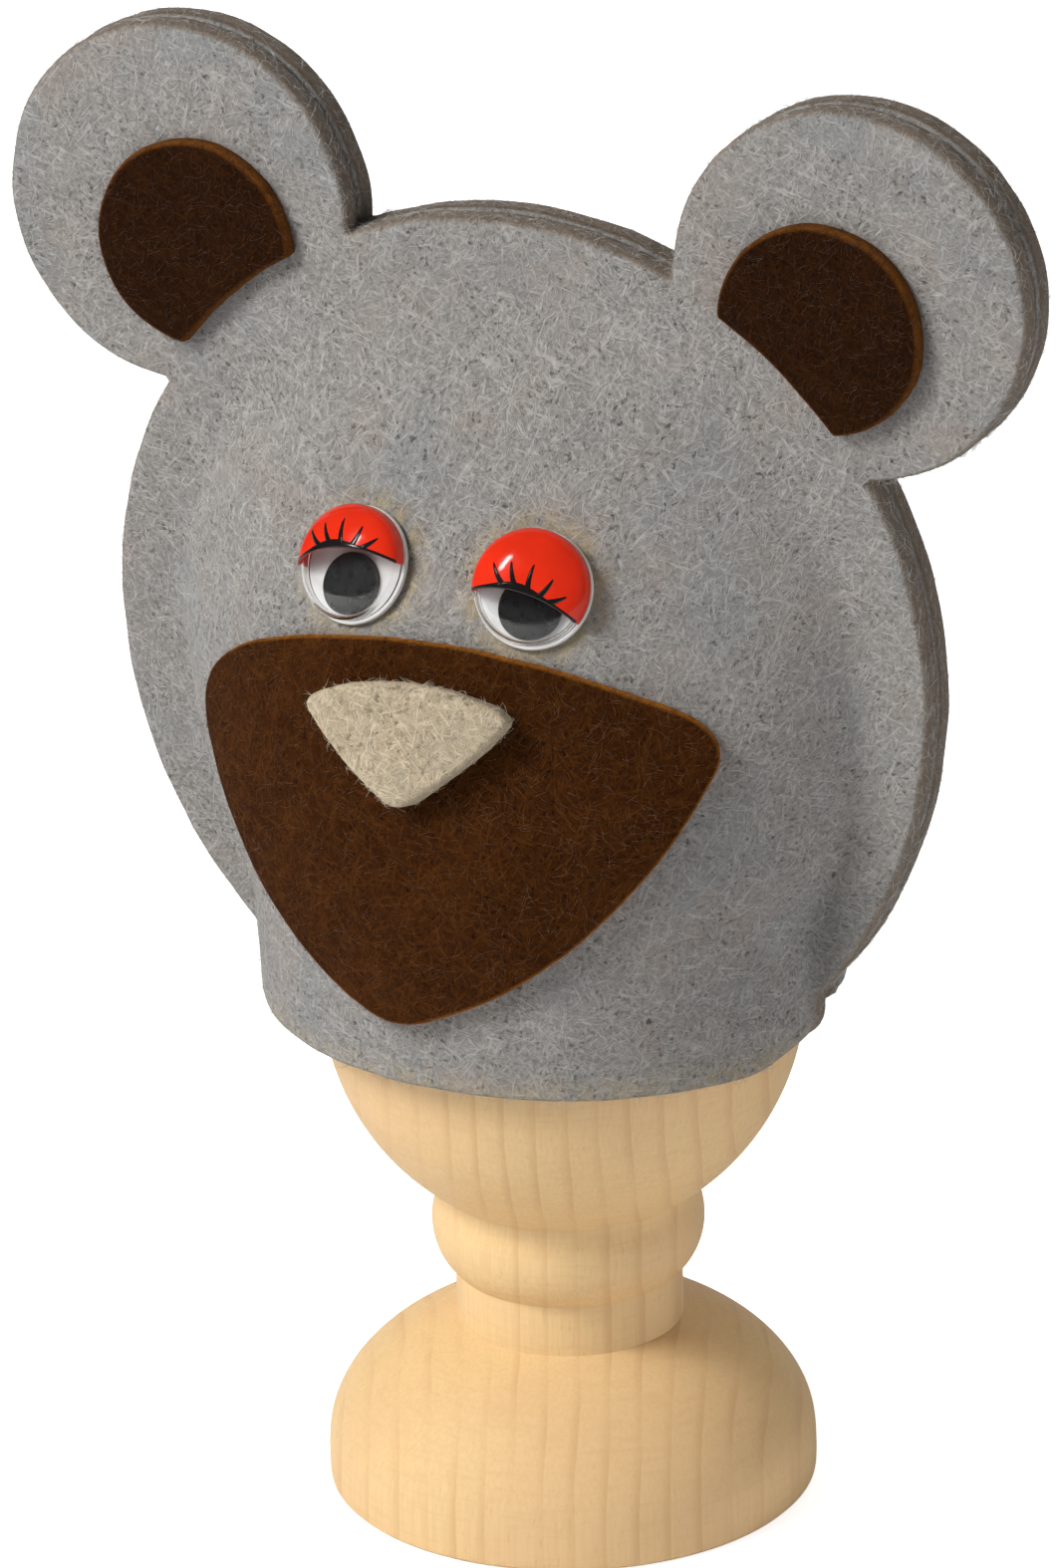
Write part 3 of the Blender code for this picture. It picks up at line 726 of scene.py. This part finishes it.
def make_felt():
    # The grey felt's edge colour, darker and browner than its body, is partly a burnt cut edge and partly
    # painted shade on the edges
    grey = felt_material(
        "grey_felt", ((0.190, 0.181, 0.172), (0.320, 0.306, 0.291)), (0.56, 0.545, 0.53),
        (0.055, 0.048, 0.042), (0.20, 0.150, 0.105), 0.30, (0.290, 0.243, 0.218), (0.205, 0.224, 0.228),
        0.95, stained=True)
    brown = felt_material(
        "brown_felt", ((0.022, 0.0062, 0.0012), (0.042, 0.0125, 0.0024)), (0.125, 0.045, 0.010),
        (0.008, 0.0027, 0.0008), (0.42, 0.150, 0.020), 0.34, (0.048, 0.0145, 0.0028), (0.028, 0.0085, 0.0018),
        0.95, 0.03)
    # The inner ears' felt: the muzzle's brown felt made darker all over, as painted shade
    brown_painted_shade = felt_material(
        "brown_felt_painted_shade", ((0.010, 0.0032, 0.0008), (0.020, 0.0064, 0.0015)), (0.058, 0.021, 0.006),
        (0.005, 0.0018, 0.0006), (0.20, 0.070, 0.012), 0.34, (0.024, 0.0078, 0.0018), (0.014, 0.0045, 0.0012),
        0.8, 0.03)
    beige = felt_material(
        "beige_felt", ((0.34, 0.268, 0.175), (0.50, 0.41, 0.285)), (0.72, 0.64, 0.50), (0.19, 0.14, 0.082),
        (0.50, 0.385, 0.245), 0.36, (0.45, 0.36, 0.245), (0.42, 0.35, 0.25), 0.5)
    grey_fuzz = fuzz_material("grey_fuzz", (0.58, 0.565, 0.545))
    brown_fuzz = fuzz_material("brown_fuzz", (0.14, 0.050, 0.011))
    # The inner ears' fibres: the brown fibres made darker, as painted shade
    brown_fuzz_painted_shade = fuzz_material("brown_fuzz_painted_shade", (0.065, 0.022, 0.006))
    beige_fuzz = fuzz_material("beige_fuzz", (0.78, 0.71, 0.58))

    for name, seed, hairs in (("front_panel", 11, 7200), ("back_panel", 12, 6000)):
        outline = head_outline()
        if name == "back_panel":
            outline = [(x, z + back_hem(x, z)) for x, z in outline]
        levels = (0.0, -FELT - SEAM_FILL)
        felt = make_sheet(name + "_felt", FACE.flatten(outline), FACE.surface, levels, CELL, seed=seed)
        if name == "back_panel":
            turn_to_back(felt)
        else:
            add_stain(felt)
        shift_to_cosy(felt)
        finish_piece(felt, "cosy", "grey_felt", grey, name)
        make_fuzz(name + "_fibres", felt, hairs, 1.7 * MM, 0.022 * MM, grey_fuzz, "grey_felt", seed, 0.35)

    levels = (GAP + THIN_FELT, -SINK)
    muzzle = make_sheet(
        "muzzle_felt", FACE.flatten(rounded_triangle(MUZZLE)), FACE.surface, levels, FINE_CELL,
        0.6, 0.1 * MM, 0.45 * MM)
    shift_to_cosy(muzzle)
    finish_piece(muzzle, "cosy", "brown_felt", brown, "muzzle")
    make_fuzz("muzzle_fibres", muzzle, 2400, 1.5 * MM, 0.017 * MM, brown_fuzz, "brown_felt", 13)

    levels = (2 * GAP + THIN_FELT + FELT, GAP + THIN_FELT - SINK)
    nose = make_sheet(
        "nose_felt", FACE.flatten(rounded_triangle(NOSE)), FACE.surface, levels, FINE_CELL,
        0.7, 0.15 * MM, 0.4 * MM)
    shift_to_cosy(nose)
    finish_piece(nose, "cosy", "beige_felt", beige, "nose")
    make_fuzz("nose_fibres", nose, 500, 1.2 * MM, 0.024 * MM, beige_fuzz, "beige_felt", 14, 0.4)

    for side, word in ((-1, "left"), (1, "right")):
        name = "inner_ear_" + word
        levels = (GAP + THIN_FELT, -SINK)
        ear = make_sheet(
            name + "_felt", FACE.flatten(inner_ear_outline(side)), FACE.surface, levels, FINE_CELL,
            0.6, 0.12 * MM, 0.45 * MM)
        shift_to_cosy(ear)
        # The inner ears take the darker copy of the brown felt and fibres: painted shade
        finish_piece(ear, "cosy", "brown_felt", brown_painted_shade, name)
        make_fuzz(name + "_fibres", ear, 700, 1.3 * MM, 0.017 * MM, brown_fuzz_painted_shade, "brown_felt", 15 + side)


# Rigid parts: a smoother copy of a CAD node


def finer_copy(node_name, name, levels, crease_angle):
    """The node's mesh welded, its flat pairs of triangles joined, and smoothed but for its corners."""
    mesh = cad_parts[node_name].data.copy()
    mesh.name = name
    mesh.materials.clear()
    work = bmesh.new()
    work.from_mesh(mesh)
    bmesh.ops.remove_doubles(work, verts=work.verts, dist=0.002 * MM)
    bmesh.ops.dissolve_limit(work, angle_limit=math.radians(0.6), verts=work.verts, edges=work.edges)
    creases = work.edges.layers.float.new("crease_edge")
    for edge in work.edges:
        if edge.is_manifold and edge.calc_face_angle() > math.radians(crease_angle):
            edge[creases] = 1.0
    for face in work.faces:
        face.smooth = True
    work.to_mesh(mesh)
    work.free()
    mesh.set_sharp_from_angle(angle=math.radians(crease_angle))
    obj = bpy.data.objects.new(name, mesh)
    bpy.context.scene.collection.objects.link(obj)
    finer = obj.modifiers.new("finer", "SUBSURF")
    finer.levels = levels
    finer.render_levels = levels
    return obj


def lathe(name, profile, matrix):
    """A closed profile of (radius, height) turned about the Z axis of matrix; it starts and may end on
    the axis."""
    angles = np.linspace(0, 2 * math.pi, LATHE_STEPS, endpoint=False)
    points, rings = [], []
    for radius, height in profile:
        around = [0.0] if radius == 0.0 else angles
        rings.append(list(range(len(points), len(points) + len(around))))
        points += [matrix @ Vector((radius * math.cos(a), radius * math.sin(a), height)) for a in around]
    faces = []
    for upper, lower in zip(rings, rings[1:]):
        for index in range(LATHE_STEPS):
            corners = [upper[index % len(upper)], lower[index % len(lower)]]
            corners += [lower[(index + 1) % len(lower)], upper[(index + 1) % len(upper)]]
            faces.append(list(dict.fromkeys(corners)))
    mesh = bpy.data.meshes.new(name)
    mesh.from_pydata(points, [], faces)
    mesh.shade_smooth()
    mesh.set_sharp_from_angle(angle=math.radians(40))
    obj = bpy.data.objects.new(name, mesh)
    bpy.context.scene.collection.objects.link(obj)
    return obj


def dome_shell(radius, side, height, wall):
    """Profile of an open dome: from its crown down the outside and up the inside."""
    profile = []
    for thinner in (0.0, wall):
        half = []
        for step in range(DOME_STEPS + 1):
            angle = math.pi / 2 * (1 - step / DOME_STEPS)
            x = 0.0 if step == 0 else (radius - thinner) * math.cos(angle)
            half.append((x, side + (height - thinner - side) * math.sin(angle)))
        half.append((radius - thinner, 0.0))
        profile += half if thinner == 0.0 else half[::-1]
    return profile


# The heart of the tree from the cup's axis, in mm: far to the camera's left
HEARTWOOD = (-185 * math.cos(CAMERA_TURN), -185 * math.sin(CAMERA_TURN), 0.0)


def wood_material():
    """Pale beech: growth rings of a far-off heart, nearly flat sheets through the turned cup, and
    short pores along them."""
    made, tree, shader = new_material("wood")
    place = node(tree, "ShaderNodeTexCoord").outputs["Object"]
    place = place_in(tree, place, size=(MM, MM, MM))
    drift = noise_at(tree, place_in(tree, place, size=(1, 1, 5)), 0.06, 2.0)
    board = place_in(tree, place, (0.0, 0.006, CAMERA_TURN), location=HEARTWOOD)
    axes = node(tree, "ShaderNodeSeparateXYZ", {0: board}).outputs
    squares = calc(tree, "ADD", calc(tree, "POWER", axes[0], 2.0), calc(tree, "POWER", axes[1], 2.0))
    rings = calc(tree, "MULTIPLY_ADD", drift, 0.9, calc(tree, "MULTIPLY", calc(tree, "SQRT", squares), 0.33))
    phase = calc(tree, "FRACT", rings)
    late = calc(tree, "MULTIPLY", between(tree, phase, 0.62, 0.96), between(tree, phase, 1.0, 0.972))
    strength = noise_at(tree, place_in(tree, place, size=(1, 1, 14)), 0.14, 2.0)
    late = calc(tree, "MULTIPLY", late, between(tree, strength, 0.35, 0.7, 0.15, 1.0))
    long_grain = noise_at(tree, place_in(tree, place, size=(0.34, 0.34, 9.0)), 1.0, 3.0)
    pores = noise_at(tree, place_in(tree, place, size=(0.2, 0.2, 1.5)), 1.0, 2.0)
    pores = between(tree, pores, 0.62, 0.74)
    clouds = between(tree, noise_at(tree, place, 0.045, 2.0), 0.35, 0.65)
    body = mix(tree, clouds, (0.78, 0.555, 0.285), (0.755, 0.515, 0.272))
    body = mix(tree, between(tree, long_grain, 0.3, 0.7, 0.0, 0.4), body, (0.69, 0.455, 0.228))
    body = mix(tree, calc(tree, "MULTIPLY", late, 0.42), body, (0.56, 0.315, 0.145))
    body = mix(tree, calc(tree, "MULTIPLY", pores, 0.28), body, (0.50, 0.30, 0.145))
    turning = noise_at(tree, place_in(tree, place, size=(4.0, 4.0, 0.5)), 1.0, 2.0)
    body = mix(tree, between(tree, turning, 0.45, 0.75, 0.0, 0.3), body, (0.66, 0.43, 0.21))
    height = calc(tree, "MULTIPLY_ADD", long_grain, 0.5, calc(tree, "MULTIPLY", pores, -0.6))
    bump = node(tree, "ShaderNodeBump", {"Height": height, "Distance": 0.05 * MM, "Strength": 0.5})
    rough = between(tree, long_grain, 0.2, 0.8, 0.42, 0.58)
    connect(tree, shader, Base_Color=body, Roughness=rough, Normal=bump.outputs[0])
    connect(tree, shader, Specular_IOR_Level=0.3)
    return made


def make_cup():
    cup = finer_copy("egg_cup", "egg_cup_turned", 2, 24)
    finish_piece(cup, "cup", "wood", wood_material(), "egg_cup")


# Eyes


def eye_matrix(place, roll, base=LID_BASE):
    """Stands base above the face at place, turned by roll degrees, anticlockwise from the front."""
    x, z = (value * MM for value in place)
    places, normals = face_surface(np.array([x]), np.array([z]))
    outward = Vector(normals[0])
    right = Vector((0.0, 0.0, 1.0)).cross(outward).normalized()
    turn = Matrix((right, outward.cross(right), outward)).transposed()
    turn = turn @ Matrix.Rotation(math.radians(roll), 3, "Z")
    place = Vector(places[0]) + outward * (GAP + base) + Vector((COSY_X, 0.0, 0.0))
    return Matrix.Translation(place) @ turn.to_4x4()


class DomePattern:
    """Lays the lid's dome out flat about its crown: distance from the middle is distance along it."""

    def __init__(self, matrix):
        angle = np.radians(np.linspace(90, 0, 80))
        self.radius = np.append(LID_RADIUS * np.cos(angle), LID_RADIUS)
        self.height = np.append(LID_SIDE + (LID_HEIGHT - LID_SIDE) * np.sin(angle), 0.0)
        steps = np.hypot(np.diff(self.radius), np.diff(self.height))
        self.along = np.concatenate([[0.0], np.cumsum(steps)])
        self.matrix = matrix
        self.reach = self.along[-1]

    def flatten(self, plan):
        """From places seen along the eye's axis to the flat pattern."""
        plan = np.array(plan)
        plan_radius = np.linalg.norm(plan, axis=1)
        away = np.interp(plan_radius, self.radius[:-1], self.along[:-1])
        return plan * (away / np.maximum(plan_radius, 1e-9))[:, None]

    def surface(self, pattern):
        away = np.linalg.norm(pattern, axis=1)
        direction = pattern / np.maximum(away, 1e-9)[:, None]
        radius = np.interp(away, self.along, self.radius)
        height = np.interp(away, self.along, self.height)
        step = 0.05 * MM
        near, far = away - step, away + step
        fall = np.interp(far, self.along, self.height) - np.interp(near, self.along, self.height)
        spread = np.interp(far, self.along, self.radius) - np.interp(near, self.along, self.radius)
        spread = np.maximum(spread, 0.0)
        points = np.c_[direction * radius[:, None], height]
        normals = np.c_[direction * -fall[:, None], spread]
        normals /= np.maximum(np.linalg.norm(normals, axis=1), 1e-12)[:, None]
        turn = np.array(self.matrix.to_3x3())
        return points @ turn.T + np.array(self.matrix.translation), normals @ turn.T


def lid_line(x, top):
    """Height at x of the lid's arched lower edge, whose highest point is top, above the eye's middle."""
    return top - LID_LINE_RADIUS + math.sqrt(LID_LINE_RADIUS**2 - x**2)


def lid_outline(dome, top):
    """Flat pattern of the dome above its lid line."""
    line = [(x, lid_line(x, top)) for x in np.linspace(-LID_RADIUS, LID_RADIUS, 400)]
    line = dome.flatten([p for p in line if math.hypot(*p) < LID_RADIUS - 0.02 * MM])
    start = math.degrees(math.atan2(line[-1][1], line[-1][0]))
    end = math.degrees(math.atan2(line[0][1], line[0][0])) % 360
    return np.vstack([line, arc((0.0, 0.0), dome.reach, start, end)])


def printed(name, outline, dome, levels, surface, slot):
    sheet = make_sheet(name, outline, dome.surface, levels, 0.22 * MM, 0.0, 0.0, 0.03 * MM)
    finish_piece(sheet, "cosy", slot, surface)
    return sheet


def band_width(x):
    """The thick line along the lid's edge is widest a little left of its middle."""
    return (0.30 + 0.55 * math.exp(-(((x / MM) + 0.6) / 2.4) ** 2)) * MM


def lash_outline(dome, top, x, lean, length, width):
    """A tapering lash that grows from the line along the lid's edge, seen along the eye's axis."""
    base = Vector((x, lid_line(x, top) + 0.5 * band_width(x)))
    tip = Vector((x, lid_line(x, top) + band_width(x))) + Vector((math.sin(lean), math.cos(lean))) * length
    side = Vector((tip.y - base.y, base.x - tip.x)).normalized()
    bend = side * (math.copysign(0.10, lean) * length)
    left, right = [], []
    for t in np.linspace(0, 1, 9):
        middle = quadratic(base, (base + tip) / 2 + bend, tip, t)
        half = width / 2 * (1 - t) ** 0.7 + 0.06 * MM
        left.append(middle - side * half)
        right.append(middle + side * half)
    return dome.flatten([tuple(p) for p in right + left[::-1]])


def band_outline(dome, top):
    xs = np.linspace(-LID_RADIUS, LID_RADIUS, 300)
    keep = LID_RADIUS - 0.03 * MM
    lower = [(x, lid_line(x, top)) for x in xs]
    upper = [(x, lid_line(x, top) + band_width(x)) for x in xs]
    lower = [p for p in lower if math.hypot(*p) < keep]
    upper = [p for p in upper if math.hypot(*p) < keep]
    return dome.flatten(lower + upper[::-1])


# Each lash: its foot and length in mm, and its lean to the right in degrees
LASHES = ((-2.0, 2.25, -48), (-0.8, 2.1, -32), (0.5, 2.25, -4), (1.7, 1.9, 25), (2.7, 1.7, 60))
LASH_WIDTH = 0.5 * MM
INK_LEVELS = (0.025 * MM, -0.02 * MM)


def plastic_material(name, colour, roughness, wear=0.05):
    """Hard plastic with faint waviness and fine scuffs in its gloss."""
    made, tree, shader = new_material(name)
    place = node(tree, "ShaderNodeTexCoord").outputs["Object"]
    scuffs = noise_at(tree, place, 1400.0, 3.0)
    rough = between(tree, scuffs, 0.3, 0.75, roughness, roughness + wear)
    shade = tuple(channel * 0.88 for channel in colour)
    body = mix(tree, between(tree, noise_at(tree, place, 260.0, 2.0), 0.3, 0.7), shade, colour)
    bump = node(tree, "ShaderNodeBump", {"Height": scuffs, "Distance": 0.004 * MM, "Strength": 0.3})
    connect(tree, shader, Base_Color=body, Roughness=rough, Normal=bump.outputs[0])
    return made


def clear_material():
    """Clear plastic that lets lamps through to the disc behind it."""
    made, tree, shader = new_material("clear_plastic")
    place = node(tree, "ShaderNodeTexCoord").outputs["Object"]
    rough = between(tree, noise_at(tree, place, 1100.0, 3.0), 0.35, 0.75, 0.0, 0.05)
    connect(tree, shader, Base_Color=(0.98, 0.985, 0.99), Roughness=rough, IOR=1.46)
    connect(tree, shader, Transmission_Weight=1.0)
    rays = node(tree, "ShaderNodeLightPath").outputs
    passing = calc(tree, "MAXIMUM", rays["Is Shadow Ray"], rays["Is Diffuse Ray"])
    clear = node(tree, "ShaderNodeBsdfTransparent").outputs[0]
    both = node(tree, "ShaderNodeMixShader", {0: passing, 1: shader.outputs[0], 2: clear}).outputs[0]
    tree.links.new(both, tree.nodes["Material Output"].inputs["Surface"])
    return made


def make_eyes():
    # The eye discs are white plastic; their light grey tone is painted shade from the lid and dome over them
    white = plastic_material("white_plastic", (0.66, 0.66, 0.655), 0.22)
    black = plastic_material("black_plastic", (0.012, 0.012, 0.012), 0.25, 0.15)
    red = plastic_material("red_print", (0.74, 0.028, 0.008), 0.09)
    ink = plastic_material("black_print", (0.010, 0.008, 0.008), 0.12)
    clear = clear_material()
    for word, eye in EYES.items():
        profile = [(0.0, DISC_DEPTH)]
        profile += arc((DISC_RADIUS - DISC_EDGE, DISC_DEPTH - DISC_EDGE), DISC_EDGE, 90, 0)
        profile += [(DISC_RADIUS, 0.0), (0.0, 0.0)]
        stand = eye_matrix(eye["place"], eye["lid_roll"], 0.0)
        disc = lathe("eye_disc_" + word + "_fine", profile, stand)
        finish_piece(disc, "cosy", "white_plastic", white, "eye_disc_" + word)
        stand = eye_matrix(eye["place"], eye["lid_roll"], DOME_BASE)
        profile = dome_shell(DOME_RADIUS, LID_SIDE, DOME_HEIGHT, DOME_WALL)
        shell = lathe("eye_dome_" + word + "_fine", profile, stand)
        finish_piece(shell, "cosy", "clear_plastic", clear, "eye_dome_" + word)
        pupil = finer_copy("pupil_" + word, "pupil_" + word + "_fine", 2, 50)
        finish_piece(pupil, "pupil_" + word, "black_plastic", black, "pupil_" + word)

        dome = DomePattern(eye_matrix(eye["place"], eye["lid_roll"]))
        top = eye["lid_line"] * MM
        outline = lid_outline(dome, top)
        lid = printed("eyelid_" + word + "_shell", outline, dome, (0.0, -LID_WALL), red, "red_print")
        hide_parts("eyelid_" + word)
        printed("lid_line_" + word, band_outline(dome, top), dome, INK_LEVELS, ink, "black_plastic")
        for index, (x, length, lean) in enumerate(LASHES, 1):
            outline = lash_outline(dome, top, x * MM, math.radians(lean), length * MM, LASH_WIDTH)
            printed(f"lash_{word}_{index}", outline, dome, INK_LEVELS, ink, "black_plastic")


# Stage


def look_at(obj, place, target):
    obj.location = place
    obj.rotation_euler = (Vector(target) - Vector(place)).to_track_quat("-Z", "Y").to_euler()


def add_light(name, place, target, size, power, colour):
    light = bpy.data.lights.new(name, "AREA")
    light.shape = "RECTANGLE"
    light.size, light.size_y = size
    light.energy = power
    light.color = colour
    obj = bpy.data.objects.new(name, light)
    bpy.context.scene.collection.objects.link(obj)
    look_at(obj, place, target)
    return obj


def camera_axes():
    """Right, up and backward directions of the camera."""
    turn, rise = CAMERA_TURN, CAMERA_RISE
    back = Vector((math.sin(turn) * math.cos(rise), -math.cos(turn) * math.cos(rise), math.sin(rise)))
    right = Vector((math.cos(turn), math.sin(turn), 0.0))
    right = Matrix.Rotation(CAMERA_ROLL, 3, back) @ right
    return right, back.cross(right), back


def make_camera():
    right, up, back = camera_axes()
    middle = (Vector(cad_box[0]) + Vector(cad_box[1])) / 2
    data = bpy.data.cameras.new("camera")
    data.sensor_width = 36.0
    data.lens = LENS
    data.shift_x, data.shift_y = FRAME_SHIFT
    data.clip_start = 0.05
    camera = bpy.data.objects.new("camera", data)
    bpy.context.scene.collection.objects.link(camera)
    camera.matrix_world = Matrix.Translation(middle + AIM + back * CAMERA_DISTANCE) @ Matrix(
        (right, up, back)).transposed().to_4x4()
    bpy.context.scene.camera = camera


FLOOR_RADIUS = 6.0
FLOOR_STEPS = 96


def floor_material():
    made, tree, shader = new_material("floor")
    place = node(tree, "ShaderNodeTexCoord").outputs["Object"]
    tone = mix(tree, noise_at(tree, place, 3.0), (0.90, 0.90, 0.90), (0.93, 0.93, 0.93))
    seen = node(tree, "ShaderNodeLightPath").outputs["Is Camera Ray"]
    glow = calc(tree, "MULTIPLY", seen, 0.85)
    connect(tree, shader, Base_Color=tone, Roughness=0.8, Emission_Color=tone, Emission_Strength=glow)
    return made


def make_stage():
    """A flat pale floor, wide enough that its edge is never near the object."""
    mesh = bpy.data.meshes.new("stage_floor")
    turns = [2 * math.pi * step / FLOOR_STEPS for step in range(FLOOR_STEPS)]
    rim = [(FLOOR_RADIUS * math.cos(turn), FLOOR_RADIUS * math.sin(turn), 0.0) for turn in turns]
    mesh.from_pydata(rim, [], [range(FLOOR_STEPS)])
    floor = bpy.data.objects.new("stage_floor", mesh)
    floor.location.z = -0.05 * MM
    mesh.materials.append(floor_material())
    bpy.context.scene.collection.objects.link(floor)


# Each lamp's place in metres from the middle of the object (right, towards the camera, up), its size
# in metres and its power in watts
LAMPS = {
    "key": ((-0.67, 0.35, 0.66), (0.40, 0.40), 8.3),
    "side": ((-0.86, 0.30, 0.24), (0.45, 0.55), 1.9),
    "fill": ((0.80, 0.50, 0.20), (0.60, 0.60), 2.3),
    "low": ((0.30, 0.85, -0.02), (0.60, 0.09), 0.8),
    "back": ((0.15, -0.95, 0.40), (0.70, 0.60), 4.0),
    "spark": ((-0.67, 0.29, 0.68), (0.07, 0.24), 1.6),
}
KEY_COLOUR = (1.0, 0.985, 0.96)
OTHER_COLOUR = (1.0, 1.0, 1.0)

# The world's strength as light, and as the pale backdrop that the camera sees behind the floor
WORLD_LIGHT = 0.04
BACKDROP = 0.78


def make_lights():
    right = Vector((math.cos(CAMERA_TURN), math.sin(CAMERA_TURN), 0.0))
    level = Vector((right.y, -right.x, 0.0))
    middle = (Vector(cad_box[0]) + Vector(cad_box[1])) / 2
    for name, (place, size, power) in LAMPS.items():
        spot = middle + right * place[0] + level * place[1] + Vector((0.0, 0.0, place[2]))
        colour = KEY_COLOUR if name == "key" else OTHER_COLOUR
        lamp = add_light(name, spot, middle, size, power, colour)
        lamp.visible_camera = False
        lamp.visible_glossy = name == "spark"
        lamp.visible_transmission = name == "spark"
    world = bpy.data.worlds.new("studio")
    bpy.context.scene.world = world
    world.use_nodes = True
    tree = world.node_tree
    background = tree.nodes["Background"]
    background.inputs["Color"].default_value = (1.0, 1.0, 1.0, 1.0)
    seen = node(tree, "ShaderNodeLightPath").outputs["Is Camera Ray"]
    strength = calc(tree, "MULTIPLY_ADD", seen, BACKDROP - WORLD_LIGHT, WORLD_LIGHT)
    tree.links.new(strength, background.inputs["Strength"])


make_cup()
make_felt()
make_eyes()
make_stage()
make_lights()
make_camera()
bpy.context.scene.view_settings.view_transform = "Standard"

bpy.context.view_layer.update()
